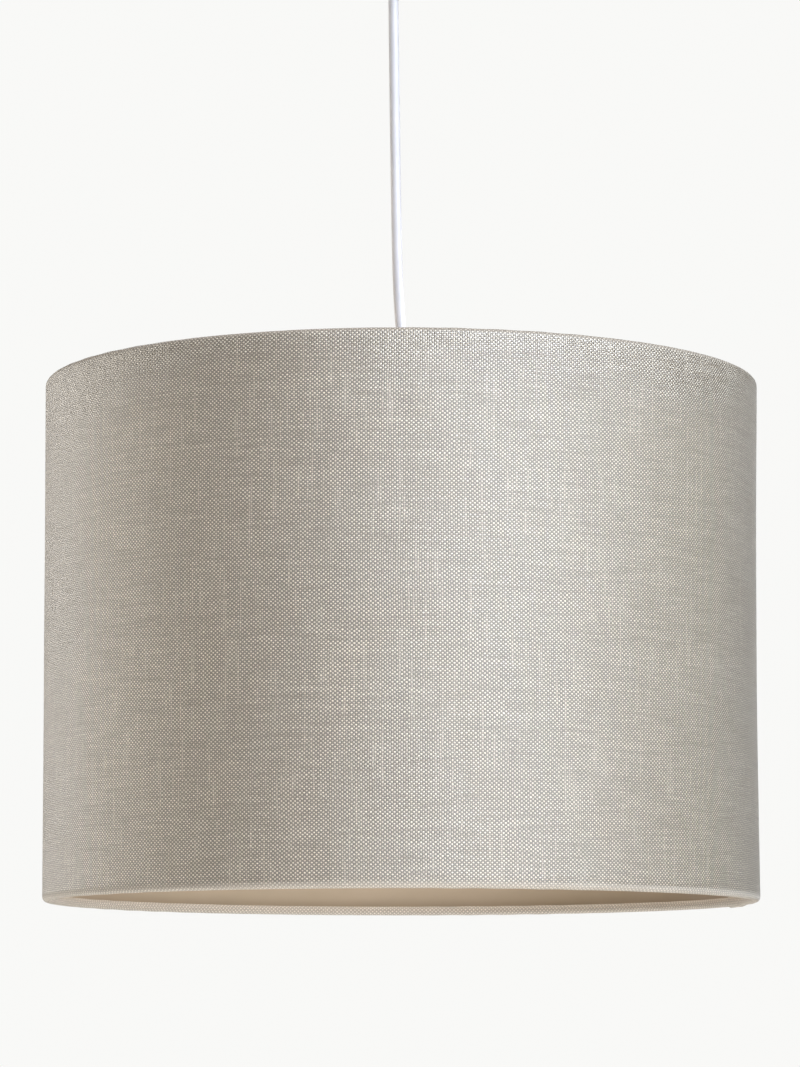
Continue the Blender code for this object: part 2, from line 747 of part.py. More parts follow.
def make_rose_base():
    """The plate that is screwed to the ceiling, with the threaded boss for its cover."""
    under = -ROSE_PLATE
    boss_bottom = under - ROSE_BOSS_HEIGHT
    base = turned(
        "rose_base",
        [
            (0, 0),
            (ROSE_RADIUS, 0),
            (ROSE_RADIUS, under + 1 * MM),
            (ROSE_RADIUS - 1 * MM, under),
            (ROSE_BOSS_RADIUS, under),
            (ROSE_BOSS_RADIUS, boss_bottom),
            (ROSE_BOSS_INNER, boss_bottom),
            (ROSE_BOSS_INNER, under),
            (0, under),
        ],
        WHITE_PLASTIC,
        steps=ROSE_STEPS,
        closed=False,
        axis=rose_axis(),
    )
    places = [(ROSE_X + side * ROSE_SCREW_REACH, 0, under / 2) for side in (-1, 1)]
    radius = ROSE_SCREW_RADIUS + CLEAR
    mesh = cylinder_mesh("rose_screw_holes", places, radius, 3 * ROSE_PLATE, 12)
    cut(base, cutter("rose_screw_holes", mesh))
    places = [(ROSE_X, ROSE_BOSS_INNER - MAINS_ENTRY_INSET, under / 2)]
    mesh = cylinder_mesh("mains_entry", places, MAINS_ENTRY_RADIUS, 3 * ROSE_PLATE, 20)
    cut(base, cutter("mains_entry", mesh))


def make_rose_screws():
    """Two round-head screws, their shanks ending at the ceiling's face."""
    seat = -ROSE_PLATE - CLEAR
    head = arc(
        (0, seat),
        (ROSE_SCREW_HEAD, ROSE_SCREW_HEAD_HEIGHT),
        0,
        -math.pi / 2,
        5,
    )
    profile = [
        (0, -CLEAR),
        (ROSE_SCREW_RADIUS, -CLEAR),
        (ROSE_SCREW_RADIUS, seat),
        *head[:-1],
        (0, seat - ROSE_SCREW_HEAD_HEIGHT),
    ]
    for name, side in (("rose_screw_left", -1), ("rose_screw_right", 1)):
        axis = (ROSE_X + side * ROSE_SCREW_REACH, 0)
        turned(name, profile, STEEL, steps=12, closed=False, axis=axis)


def make_rose_terminals():
    """The block under the plate, its two brass tubes, and the flex's cores in them."""
    top = -ROSE_PLATE - CLEAR
    centre = Vector((ROSE_X, 0, top - ROSE_BLOCK.z / 2))
    block_mesh = box_mesh("rose_terminal_block", ROSE_BLOCK, centre)
    block = add("rose_terminal_block", block_mesh, CERAMIC, smooth=False)
    along_y = Matrix.Rotation(math.pi / 2, 4, "X")
    places = [
        centre + Vector((side * ROSE_TERMINAL_REACH, 0, 0)) for side in (-1, 1)
    ]
    radius = TERMINAL_RADIUS + CLEAR
    mesh = cylinder_mesh(
        "rose_terminal_bores", places, radius, 2 * ROSE_BLOCK.y, 16, along_y
    )
    cut(block, cutter("rose_terminal_bores", mesh))

    mouth = -ROSE_BLOCK.y / 2
    start = FLEX_ROUTE[-1][2] + CORE_DIAMETER
    for side, way, place, finish in zip(
        ("left", "right"), (-1, 1), places, (BROWN_CORE, BLUE_CORE)
    ):
        half = ROSE_BLOCK.y / 2
        profile = [
            (TERMINAL_BORE, half),
            (TERMINAL_RADIUS, half),
            (TERMINAL_RADIUS, -half),
            (TERMINAL_BORE, -half),
        ]
        barrel = turned(f"rose_terminal_{side}", profile, BRASS, steps=16)
        barrel.location = place
        barrel.rotation_euler.x = math.pi / 2

        near = CORE_DIAMETER / 2 + CLEAR
        reach = ROSE_TERMINAL_REACH
        below = centre.z - ROSE_BLOCK.z / 2 - CORE_DIAMETER
        route = [
            (ROSE_X + way * near, -0.5 * CORE_DIAMETER, start),
            (ROSE_X + way * 0.4 * reach, mouth - 0.5 * CORE_DIAMETER, below),
            (ROSE_X + way * 0.75 * reach, mouth - 3.2 * CORE_DIAMETER, below + 2 * MM),
            (place.x, mouth - 3.2 * CORE_DIAMETER, centre.z - 1 * MM),
            (place.x, mouth - 1.2 * CORE_DIAMETER, centre.z),
            (place.x, mouth + 2 * CORE_DIAMETER, centre.z),
        ]
        tube(f"rose_core_{side}", smooth_route(route, 3), CORE_DIAMETER, finish)


def make_rose_cover():
    """The domed cover that screws up on the boss, with the flex's outlet in its nose."""
    top = -ROSE_PLATE - CLEAR
    inner = ROSE_BOSS_RADIUS + CLEAR
    outer = inner + ROSE_COVER_WALL
    shoulder = top - ROSE_COVER_SKIRT
    nose = -ROSE_HEIGHT
    points = 6
    boss_bottom = -ROSE_PLATE - ROSE_BOSS_HEIGHT - CLEAR
    shell = arc(
        (ROSE_NOSE_RADIUS, shoulder),
        (outer - ROSE_NOSE_RADIUS, shoulder - nose - 1 * MM),
        0,
        -math.pi / 2,
        points,
    )
    hollow = arc(
        (ROSE_NOSE_RADIUS, boss_bottom),
        (inner - ROSE_NOSE_RADIUS, boss_bottom - nose - 1 * MM - ROSE_SHELL),
        -math.pi / 2,
        0,
        points,
    )
    lip = 0.6 * MM
    turned(
        "rose_cover",
        [
            (inner, top),
            (outer, top),
            *shell,
            (ROSE_NOSE_RADIUS - lip, nose),
            (ROSE_OUTLET + lip, nose),
            (ROSE_OUTLET, nose + lip),
            (ROSE_OUTLET, nose + lip + ROSE_SHELL * 0.8),
            (ROSE_OUTLET + lip, nose + 1 * MM + ROSE_SHELL),
            *hollow,
        ],
        WHITE_PLASTIC,
        steps=ROSE_STEPS,
        axis=rose_axis(),
    )


clear_scene()
PARTS = make_collection("drum_lamp_shade")
CUTTERS = make_collection("cutters")

LINEN = make_material("linen", (0.50, 0.46, 0.40), 0.9)
STYRENE = make_material("styrene", (0.78, 0.70, 0.58), 0.55)
WHITE_STEEL = make_material("white_steel", (0.86, 0.86, 0.84), 0.4)
WHITE_PLASTIC = make_material("white_plastic", (0.88, 0.88, 0.86), 0.35)
WHITE_PVC = make_material("white_pvc", (0.86, 0.86, 0.87), 0.45)
CERAMIC = make_material("ceramic", (0.82, 0.80, 0.75), 0.5)
BRASS = make_material("brass", (0.80, 0.62, 0.30), 0.3, 1.0)
STEEL = make_material("steel", (0.62, 0.62, 0.62), 0.35, 1.0)
BROWN_CORE = make_material("brown_core", (0.25, 0.12, 0.06), 0.5)
BLUE_CORE = make_material("blue_core", (0.08, 0.20, 0.50), 0.5)

make_cover()
make_liner()
make_ring("top_ring", SHADE_TOP - RING_INSET)
make_ring("bottom_ring", SHADE_BOTTOM + RING_INSET)
make_arms()
make_fitter_ring()
make_reducer_ring()
make_holder_body()
make_bayonet_sleeve()
make_contact_block()
make_plungers()
make_springs()
make_holder_terminals()
make_holder_cap()
make_cord_grip()
make_shade_ring()
make_flex()
make_rose_base()
make_rose_screws()
make_rose_terminals()
make_rose_cover()
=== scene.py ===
import math

import bmesh
import bpy
import numpy as np
from mathutils import Matrix, Vector


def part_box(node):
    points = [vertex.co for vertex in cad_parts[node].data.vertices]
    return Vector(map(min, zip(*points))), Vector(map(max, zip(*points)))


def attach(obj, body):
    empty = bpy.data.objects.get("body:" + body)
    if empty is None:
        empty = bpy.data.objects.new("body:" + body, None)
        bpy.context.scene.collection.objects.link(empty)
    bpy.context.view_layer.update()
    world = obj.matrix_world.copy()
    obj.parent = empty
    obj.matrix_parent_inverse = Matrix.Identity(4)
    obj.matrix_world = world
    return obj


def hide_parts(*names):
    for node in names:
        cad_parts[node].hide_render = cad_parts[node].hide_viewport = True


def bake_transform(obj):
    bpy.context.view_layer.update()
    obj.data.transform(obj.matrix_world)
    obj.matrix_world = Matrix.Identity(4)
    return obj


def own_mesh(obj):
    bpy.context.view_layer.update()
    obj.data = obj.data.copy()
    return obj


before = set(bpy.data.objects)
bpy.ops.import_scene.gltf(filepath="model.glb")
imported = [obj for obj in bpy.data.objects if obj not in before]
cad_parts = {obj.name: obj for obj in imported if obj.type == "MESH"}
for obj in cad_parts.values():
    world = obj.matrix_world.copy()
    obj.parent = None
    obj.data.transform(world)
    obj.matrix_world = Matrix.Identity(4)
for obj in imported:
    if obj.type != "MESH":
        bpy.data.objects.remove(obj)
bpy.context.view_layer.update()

# ---------------------------------------------------------------------------
# Viewpoint. The shade hangs above eye level: the eye is a little under its lower edge
# and two metres off, so the rim's far side just shows.
# ---------------------------------------------------------------------------
MM = 0.001
EYE_DISTANCE = 2.1085
EYE_BELOW_RIM = 0.0807
EYE_PITCH = math.radians(4.813)
EYE_LENS = 145.455
EYE_SHIFT_UP = 0.1612
EYE_SHIFT_ACROSS = -0.0012

cover_low, cover_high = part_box("cover")
camera_data = bpy.data.cameras.new("eye")
camera_data.lens = EYE_LENS
camera_data.sensor_width = 36
camera_data.sensor_fit = "AUTO"
camera_data.shift_y = EYE_SHIFT_UP
camera_data.shift_x = EYE_SHIFT_ACROSS
camera_data.clip_start = 0.05
camera_data.clip_end = 200
camera = bpy.data.objects.new("eye", camera_data)
bpy.context.scene.collection.objects.link(camera)
camera.location = (0, -EYE_DISTANCE, cover_low.z - EYE_BELOW_RIM)
camera.rotation_euler = (math.pi / 2 + EYE_PITCH, 0, 0)
bpy.context.scene.camera = camera

# ---------------------------------------------------------------------------
# Flex. Two insulated cores in a round white PVC sheath, 5 mm across. It hangs under the
# shade's weight from the ceiling rose, with a slight set in it from the reel it came on.
# ---------------------------------------------------------------------------
FLEX_DIAMETER = 5 * MM
FLEX_SIDES = 8
FLEX_ROUTE = [
    (x * MM, 0.0, z * MM)
    for x, z in (
        (0.00, -216), (-0.09, -212.5), (-0.45, -207.5), (-1.02, -200), (-1.52, -190),
        (-1.94, -178), (-2.25, -165), (-2.50, -151), (-2.72, -137), (-2.92, -123),
        (-3.11, -109), (-3.30, -95), (-3.48, -81), (-3.66, -67), (-3.83, -53),
        (-3.95, -41), (-4.00, -30), (-4.00, -20),
    )
]


def smooth_route(route, per_span):
    """Points on the Catmull-Rom curve through a route's own points."""
    knots = [Vector(p) for p in route]
    knots = [2 * knots[0] - knots[1], *knots, 2 * knots[-1] - knots[-2]]
    found = []
    for a, b, c, d in zip(knots, knots[1:], knots[2:], knots[3:]):
        for k in range(per_span):
            t = k / per_span
            bend = (2 * a - 5 * b + 4 * c - d) * t**2
            swing = (3 * b - a - 3 * c + d) * t**3
            found.append(0.5 * (2 * b + (c - a) * t + bend + swing))
    return [*found, knots[-2]]


def link(name, mesh):
    obj = bpy.data.objects.new(name, mesh)
    bpy.context.scene.collection.objects.link(obj)
    return obj


def clean(mesh, join=0.0, sliver=0.0):
    """Joins a mesh's points nearer than join, drops slivers and turns its faces outward."""
    shape = bmesh.new()
    shape.from_mesh(mesh)
    if join:
        bmesh.ops.remove_doubles(shape, verts=shape.verts, dist=join)
    if sliver:
        bmesh.ops.dissolve_degenerate(shape, edges=shape.edges, dist=sliver)
    bmesh.ops.recalc_face_normals(shape, faces=shape.faces)
    shape.to_mesh(mesh)
    shape.free()
    return mesh


def drawn(name, shape):
    """The mesh of a bmesh, which is used up."""
    mesh = bpy.data.meshes.new(name)
    shape.to_mesh(mesh)
    shape.free()
    return mesh


def applied(piece):
    """The mesh that a piece's modifiers make, which are used up."""
    graph = bpy.context.evaluated_depsgraph_get()
    mesh = bpy.data.meshes.new_from_object(piece.evaluated_get(graph))
    if piece.type == "MESH":
        piece.modifiers.clear()
    return mesh


def tube_mesh(name, points, radius, resolution):
    """The mesh of a round wire or cable along points, with closed ends."""
    curve = bpy.data.curves.new(name + "_line", "CURVE")
    curve.dimensions = "3D"
    curve.bevel_depth = radius
    curve.bevel_resolution = resolution
    curve.use_fill_caps = True
    spline = curve.splines.new("POLY")
    spline.points.add(len(points) - 1)
    for target, point in zip(spline.points, points):
        target.co = (*point, 1)
    wire = link(name + "_line", curve)
    mesh = applied(wire)
    bpy.data.objects.remove(wire)
    mesh.name = name
    return clean(mesh, join=0.001 * MM)


def smooth(mesh, angle=35):
    mesh.shade_smooth()
    mesh.set_sharp_from_angle(angle=math.radians(angle))


class Nodes:
    """Short names for the nodes of one tree."""

    def __init__(self, tree):
        self.tree = tree

    def add(self, kind, **settings):
        node = self.tree.nodes.new(kind)
        for key, value in settings.items():
            setattr(node, key, value)
        return node

    def join(self, source, target):
        self.tree.links.new(source, target)

    def feed(self, socket, value):
        """A link where the value is a socket, and the socket's own number where it isn't."""
        if isinstance(value, bpy.types.NodeSocket):
            self.join(value, socket)
        else:
            socket.default_value = value

    def sum(self, operation, *values, clamp=False):
        node = self.add("ShaderNodeMath", operation=operation, use_clamp=clamp)
        for socket, value in zip(node.inputs, values):
            self.feed(socket, value)
        return node.outputs[0]

    def plus(self, a, b, clamp=False):
        return self.sum("ADD", a, b, clamp=clamp)

    def times(self, a, b):
        return self.sum("MULTIPLY", a, b)

    def noise(self, vector, scale, detail=2.0, roughness=0.5):
        node = self.add("ShaderNodeTexNoise")
        self.feed(node.inputs["Vector"], vector)
        node.inputs["Scale"].default_value = scale
        node.inputs["Detail"].default_value = detail
        node.inputs["Roughness"].default_value = roughness
        return node.outputs["Fac"]

    def span(self, value, low, high, to_low=0.0, to_high=1.0, soft=False):
        node = self.add("ShaderNodeMapRange", clamp=True)
        node.interpolation_type = "SMOOTHSTEP" if soft else "LINEAR"
        for key, number in zip(
            ("Value", "From Min", "From Max", "To Min", "To Max"),
            (value, low, high, to_low, to_high),
        ):
            self.feed(node.inputs[key], number)
        return node.outputs["Result"]

    def mix(self, factor, a, b):
        node = self.add("ShaderNodeMix", data_type="RGBA")
        colours = [s for s in node.inputs if s.type == "RGBA"]
        self.feed(node.inputs[0], factor)
        self.feed(colours[0], a)
        self.feed(colours[1], b)
        return [s for s in node.outputs if s.type == "RGBA"][0]

    def bump(self, height, distance):
        node = self.add("ShaderNodeBump")
        self.join(height, node.inputs["Height"])
        node.inputs["Distance"].default_value = distance
        node.inputs["Strength"].default_value = 1.0
        return node.outputs["Normal"]

    def eye_only(self, lit, seen, end):
        """One shader for the lamps' light and another for what the eye sees, into an end."""
        path = self.add("ShaderNodeLightPath")
        choose = self.add("ShaderNodeMixShader")
        self.join(path.outputs["Is Camera Ray"], choose.inputs[0])
        self.join(lit.outputs[0], choose.inputs[1])
        self.join(seen.outputs[0], choose.inputs[2])
        self.join(choose.outputs[0], end.inputs["Surface"])


def shade_group(name, inputs, outputs):
    """An empty shader node group with named inputs and outputs."""
    tree = bpy.data.node_groups.new(name, "ShaderNodeTree")
    for label, kind, value in inputs:
        socket = tree.interface.new_socket(label, in_out="INPUT", socket_type=kind)
        if value is not None:
            socket.default_value = value
    for label, kind in outputs:
        tree.interface.new_socket(label, in_out="OUTPUT", socket_type=kind)
    made = Nodes(tree)
    return made, made.add("NodeGroupInput"), made.add("NodeGroupOutput")


# Slow mottling and fine grain, in every moulded, drawn or plated surface of the set.
grain, grain_in, grain_out = shade_group(
    "surface_grain",
    [
        ("Vector", "NodeSocketVector", None),
        ("Mottle", "NodeSocketFloat", 60.0),
        ("Grain", "NodeSocketFloat", 900.0),
    ],
    [("Mottle", "NodeSocketFloat"), ("Grain", "NodeSocketFloat")],
)
for label, detail in (("Mottle", 3.0), ("Grain", 2.0)):
    texture = grain.add("ShaderNodeTexNoise")
    grain.join(grain_in.outputs["Vector"], texture.inputs["Vector"])
    grain.join(grain_in.outputs[label], texture.inputs["Scale"])
    texture.inputs["Detail"].default_value = detail
    grain.join(texture.outputs["Fac"], grain_out.inputs[label])


def new_material(name):
    found = bpy.data.materials.new(name)
    found.use_nodes = True
    return found, Nodes(found.node_tree), found.node_tree.nodes["Principled BSDF"]


def hard_finish(
    name,
    pale,
    deep,
    roughness,
    mottle,
    grain_scale,
    relief,
    metallic=0.0,
    coat=0.0,
):
    """A moulded, coated or plated finish: mottled colour, uneven gloss and a fine relief in mm."""
    found, nodes, shader = new_material(name)
    place = nodes.add("ShaderNodeTexCoord")
    spots = nodes.add("ShaderNodeGroup", node_tree=bpy.data.node_groups["surface_grain"])
    nodes.join(place.outputs["Object"], spots.inputs["Vector"])
    spots.inputs["Mottle"].default_value = mottle
    spots.inputs["Grain"].default_value = grain_scale
    share = nodes.span(spots.outputs["Mottle"], 0.35, 0.68)
    colour = nodes.mix(share, (*pale, 1), (*deep, 1))
    nodes.join(colour, shader.inputs["Base Color"])
    gloss = nodes.span(spots.outputs["Mottle"], 0.3, 0.7, *roughness)
    nodes.join(gloss, shader.inputs["Roughness"])
    normal = nodes.bump(spots.outputs["Grain"], relief * MM)
    nodes.join(normal, shader.inputs["Normal"])
    shader.inputs["Metallic"].default_value = metallic
    shader.inputs["IOR"].default_value = 1.5
    shader.inputs["Coat Weight"].default_value = coat
    return found


WHITE_PVC = hard_finish(
    "white_pvc", (0.66, 0.65, 0.68), (0.62, 0.61, 0.64), (0.42, 0.56), 45, 700, 0.015
)


def settle(piece, body, slot, *nodes):
    """The piece rides on its body and stands for its CAD nodes, which it hides; slot is not used.
    """
    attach(piece, body)
    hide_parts(*nodes)
    return piece


flex_points = smooth_route(FLEX_ROUTE, 2)
flex_length = sum((b - a).length for a, b in zip(flex_points, flex_points[1:]))
flex_mesh = tube_mesh("pendant_flex", flex_points, FLEX_DIAMETER / 2, FLEX_SIDES)
flex = link("pendant_flex", flex_mesh)
flex.data.materials.append(WHITE_PVC)
smooth(flex.data, 60)
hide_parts("flex")
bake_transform(flex)
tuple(FLEX_ROUTE[0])

# ---------------------------------------------------------------------------
# Linen cover. One length of slubby natural linen, laminated to the liner behind it, its
# edges rolled tight round the two wire hoops and its ends lapped behind the right side.
# ---------------------------------------------------------------------------
CLOTH = 0.5 * MM
HOOP_WIRE = 3.0 * MM
ROLL = HOOP_WIRE / 2 + 0.55 * MM  # hoop's centre to the middle of the cloth round it
ROLL_TURN = math.radians(280)
ROLL_SLACK = 0.10 * MM
LOOSE_FROM = math.radians(60)
LAP = 12 * MM
LAP_RAMP = 11 * MM
LAP_LIFT = 0.62 * MM
LAP_EASE = 1.2 * MM
SEAM_ANGLE = math.radians(360 / 28)
ROUND_STEPS = 400
WALL_STEPS = 42
ROLL_STEPS = 16
WAIST = 1.1 * MM

SHADE_RADIUS = cover_high.x
SHADE_LOW, SHADE_HIGH = cover_low.z, cover_high.z
HOOP_RADIUS = SHADE_RADIUS - ROLL - CLOTH / 2
HOOP_LOW = SHADE_LOW + ROLL + CLOTH / 2
HOOP_HIGH = SHADE_HIGH - ROLL - CLOTH / 2


def give(angle, height):
    """How far the drum's wall stands out of true, between the hoops that hold it round."""
    t = (height - HOOP_LOW) / (HOOP_HIGH - HOOP_LOW)
    t = np.clip(t, 0, 1)
    hold = np.sin(math.pi * t)
    waist = -WAIST * np.clip(np.cos(angle), 0, 1) ** 2
    flat = 0.08 * np.sin(3 * angle + 0.6) + 0.06 * np.sin(5 * angle + 2.1)
    wave = 0.05 * np.sin(2 * math.pi * 2.3 * t + 4 * angle)
    return hold * (waist + (flat + wave) * MM)


def skin(name, grid, across, along):
    """A closed shell from rows of closed sections: grid[row][point] with a uv for each."""
    rows, count = grid.shape[:2]
    faces = []
    for row in range(rows - 1):
        here, after = row * count, (row + 1) * count
        for k in range(count):
            j = (k + 1) % count
            faces.append((here + k, here + j, after + j, after + k))
    last = (rows - 1) * count
    for k in range(count // 2 - 1):
        a, b, c, d = k, k + 1, count - 2 - k, count - 1 - k
        faces.append((a, d, c, b))
        faces.append((last + a, last + b, last + c, last + d))
    mesh = bpy.data.meshes.new(name)
    mesh.from_pydata(grid.reshape(-1, 3).tolist(), [], faces)
    layer = mesh.uv_layers.new(name="cloth")
    corners = np.empty(len(mesh.loops), np.int32)
    mesh.loops.foreach_get("vertex_index", corners)
    uv = np.stack([across.reshape(-1)[corners], along.reshape(-1)[corners]], 1)
    layer.data.foreach_set("uv", uv.astype(np.float32).ravel())
    return clean(mesh)


def cloth_line():
    """Middle line of the cloth in section: its bend round a hoop, base level and length."""
    turn = np.linspace(-ROLL_TURN, 0, ROLL_STEPS)
    low = [(a, HOOP_LOW, ROLL * (a + ROLL_TURN)) for a in turn]
    length = ROLL * ROLL_TURN
    rise = np.linspace(HOOP_LOW, HOOP_HIGH, WALL_STEPS + 1)[1:-1]
    wall = [(0.0, z, length + z - HOOP_LOW) for z in rise]
    length += HOOP_HIGH - HOOP_LOW
    turn = np.linspace(0, ROLL_TURN, ROLL_STEPS)
    high = [(a, HOOP_HIGH, length + ROLL * a) for a in turn]
    return np.array(low + wall + high).T


def cover_mesh():
    """The cloth's shell, with its flat length round the drum and its flat height."""
    bend, base, length = cloth_line()
    total = 2 * math.pi + LAP / SHADE_RADIUS
    turns = np.linspace(0, total, ROUND_STEPS + 1)
    ramp_end = 2 * math.pi - LAP_EASE / SHADE_RADIUS
    share = np.clip((turns - ramp_end) / (LAP_RAMP / SHADE_RADIUS) + 1, 0, 1)
    lift = LAP_LIFT * share**2 * (3 - 2 * share)
    rng = np.random.default_rng(7)
    slack = sum(
        rng.normal() * np.sin(k * turns + rng.uniform(0, 6.28)) for k in range(9, 60, 5)
    )
    slack = ROLL_SLACK * slack / np.abs(slack).max()
    sides = []
    for side in (1, -1):
        rows = []
        for turn, up, loose in zip(turns, lift, slack):
            angle = SEAM_ANGLE + turn
            curl = np.clip(np.abs(bend) / LOOSE_FROM, 0, 1)
            reach = ROLL + up + side * CLOTH / 2 + loose * curl
            out = HOOP_RADIUS + reach * np.cos(bend) + give(angle, base)
            height = base + reach * np.sin(bend)
            rows.append(
                np.stack([out * math.cos(angle), out * math.sin(angle), height], 1)
            )
        sides.append(np.stack(rows))
    grid = np.concatenate([sides[0], sides[1][:, ::-1]], 1)
    along = np.tile(np.concatenate([length, length[::-1]]), (len(turns), 1))
    across = np.tile((turns * SHADE_RADIUS)[:, None], (1, grid.shape[1]))
    return skin("linen_cover", grid, across, along), turns[-1] * SHADE_RADIUS, length[-1]


WARP_PITCH = 1.08 * MM
WEFT_PITCH = 0.90 * MM
SLUB_LENGTH = 26 * MM
SLOW_DRIFT_ROUND, SLOW_DRIFT_UP, QUICK_DRIFT = 26.0, 22.0, 420.0  # waves to a metre
WEAVE_RELIEF = 0.15 * MM
EDGE_BLEND = 1.2 * MM
LOW_ROLL_TO = ROLL * ROLL_TURN
HIGH_ROLL_FROM = LOW_ROLL_TO + HOOP_HIGH - HOOP_LOW

# Painted shade: the gaps between the threads' crowns are coloured nearly black.
GAP_PAINTED_SHADE = (0.040, 0.027, 0.015, 1)
WARP_DEEP, WARP_MIDDLE, WARP_PALE = (
    (0.125, 0.094, 0.060, 1), (0.21, 0.165, 0.110, 1), (0.52, 0.45, 0.35, 1)
)
WEFT_DEEP, WEFT_PALE = (0.72, 0.63, 0.49, 1), (0.95, 0.87, 0.72, 1)
UNEVEN_TONE = (0.24, 0.19, 0.13, 1)
THIN_TONE = (0.15, 0.105, 0.065, 1)
FLECK_TONE = (0.13, 0.09, 0.055, 1)
CLOUD_TONE = (0.36, 0.30, 0.23, 1)
# Paler on the lower roll: the tight, rubbed weave there and a painted highlight on the roll's
# underside.
LOW_ROLL_RUB_AND_HIGHLIGHT = (0.43, 0.38, 0.31, 1)
# Painted shade: the upper roll is darkened to damp the highlight on it.
HIGH_ROLL_PAINTED_SHADE = (0.20, 0.165, 0.125, 1)


def linen():
    """Plain weave. Each crossing shows one round crown; the weft's are pale, the warp's darker."""
    found, nodes, shader = new_material("linen_weave")
    plus, times = nodes.plus, nodes.times
    uv = nodes.add("ShaderNodeUVMap", uv_map="cloth")
    parts = nodes.add("ShaderNodeSeparateXYZ")
    nodes.join(uv.outputs["UV"], parts.inputs[0])
    u, v = parts.outputs[0], parts.outputs[1]

    def vector(x, y, z=0.0):
        node = nodes.add("ShaderNodeCombineXYZ")
        for socket, value in zip(node.inputs, (x, y, z)):
            nodes.feed(socket, value)
        return node.outputs[0]

    def centred(value, size):
        return times(nodes.sum("SUBTRACT", value, 0.5), size)

    def drift(seed, scale, pitches):
        return centred(nodes.noise(vector(u, v, seed), scale, 1.0), pitches)

    # The threads drift a little from straight, slowly and again from crossing to crossing.
    x = plus(nodes.sum("DIVIDE", u, WARP_PITCH), drift(3.1, SLOW_DRIFT_ROUND, 0.9))
    x = plus(x, drift(5.3, QUICK_DRIFT, 0.55))
    y = plus(nodes.sum("DIVIDE", v, WEFT_PITCH), drift(8.7, SLOW_DRIFT_UP, 1.1))
    y = plus(y, drift(1.9, QUICK_DRIFT, 0.55))
    wave_x = nodes.sum("SINE", times(x, math.pi))
    wave_y = nodes.sum("SINE", times(y, math.pi))
    cross = times(wave_x, wave_y)
    crown = nodes.sum("ABSOLUTE", cross)
    weft_up = nodes.span(cross, -0.12, 0.55, soft=True)

    # Slubs: a weft thread runs thick and pale, or thin, for a few centimetres.
    pick = nodes.sum("FLOOR", y)
    end = nodes.sum("FLOOR", x)
    along = nodes.sum("DIVIDE", u, SLUB_LENGTH)
    up = nodes.sum("DIVIDE", v, 1.6 * SLUB_LENGTH)
    slub = nodes.noise(vector(along, times(pick, 7.31)), 1.0, 2.0, 0.6)
    twist = nodes.noise(vector(times(end, 5.17), up), 1.0, 2.0, 0.6)
    thick = nodes.span(slub, 0.52, 0.72, soft=True)
    thin = nodes.span(slub, 0.48, 0.30, soft=True)
    husks = nodes.noise(vector(times(u, 260.0), times(v, 900.0)), 1.0, 1.0)
    fleck = nodes.span(husks, 0.73, 0.80, soft=True)
    cloud = nodes.noise(vector(u, v, 2.2), 14.0, 3.0, 0.6)

    # Colour: each system's own thread, painted shade in the gaps between, then what wears the
    # cloth.
    warp = nodes.mix(nodes.span(twist, 0.3, 0.7), WARP_DEEP, WARP_MIDDLE)
    weft = nodes.mix(nodes.span(slub, 0.3, 0.7), WEFT_DEEP, WEFT_PALE)
    pale_end = nodes.span(twist, 0.56, 0.70, soft=True)
    warp = nodes.mix(times(pale_end, 0.55), warp, WARP_PALE)
    thread = nodes.mix(weft_up, warp, weft)
    knot = nodes.noise(vector(times(end, 3.7), times(pick, 5.9)), 1.0, 0.0)
    thread = nodes.mix(nodes.span(knot, 0.35, 0.75, 0.0, 0.34), thread, UNEVEN_TONE)
    # The low ground between crowns takes the painted shade of the gaps.
    open_gap = nodes.span(crown, 0.03, 0.42, soft=True)
    closed = nodes.sum("MAXIMUM", open_gap, times(thick, 0.55))
    colour = nodes.mix(closed, GAP_PAINTED_SHADE, thread)
    colour = nodes.mix(times(thin, 0.22), colour, THIN_TONE)
    colour = nodes.mix(times(fleck, 0.55), colour, FLECK_TONE)
    colour = nodes.mix(nodes.span(cloud, 0.3, 0.7, 0.0, 0.10), colour, CLOUD_TONE)
    # Round the hoops the cloth is drawn tight and rubbed, so the weave there looks closed; the
    # lower roll is also painted paler, a painted highlight, and the upper roll painted darker, a
    # painted shade.
    low_edge = nodes.span(v, LOW_ROLL_TO, LOW_ROLL_TO + EDGE_BLEND, 1.0, 0.0, soft=True)
    high_edge = nodes.span(v, HIGH_ROLL_FROM, HIGH_ROLL_FROM + EDGE_BLEND, soft=True)
    edge = plus(low_edge, high_edge, clamp=True)
    colour = nodes.mix(times(low_edge, 0.5), colour, LOW_ROLL_RUB_AND_HIGHLIGHT)
    # Painted shade on the upper roll.
    colour = nodes.mix(times(high_edge, 0.5), colour, HIGH_ROLL_PAINTED_SHADE)
    nodes.join(colour, shader.inputs["Base Color"])

    # Relief: round crowns, the weft standing higher, thick slubs and loose fibres on them.
    high = plus(nodes.sum("POWER", crown, 0.7), times(weft_up, 0.25))
    high = plus(high, times(thick, 0.45))
    fibre = nodes.noise(vector(times(u, 1500.0), times(v, 5200.0)), 1.0, 2.0)
    high = plus(high, centred(fibre, 0.25))
    high = times(high, nodes.span(edge, 0.0, 1.0, 1.0, 0.35))
    nodes.join(nodes.bump(high, WEAVE_RELIEF), shader.inputs["Normal"])
    gloss = plus(nodes.span(crown, 0.0, 1.0, 0.50, 0.42), times(edge, 0.3))
    nodes.join(gloss, shader.inputs["Roughness"])
    shader.inputs["IOR"].default_value = 2.0
    shader.inputs["Specular IOR Level"].default_value = 0.85
    shader.inputs["Sheen Weight"].default_value = 0.15
    shader.inputs["Sheen Roughness"].default_value = 0.5
    return found


cover_shell, cloth_round, cloth_high = cover_mesh()
cover = link("linen_cover", cover_shell)
cover.data.materials.append(linen())
smooth(cover.data, 50)
settle(cover, "shade", "linen", "cover")

# ---------------------------------------------------------------------------
# Liner. A half-millimetre sheet of cream styrene that makes the drum stiff, fixed to the
# back of the linen. Its ends butt at the cover's lap and its edges stop at the hoops.
# ---------------------------------------------------------------------------
liner_low, liner_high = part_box("liner")
LINER = 0.5 * MM
LINER_BUTT = 0.3 * MM
LINER_ROWS = 30


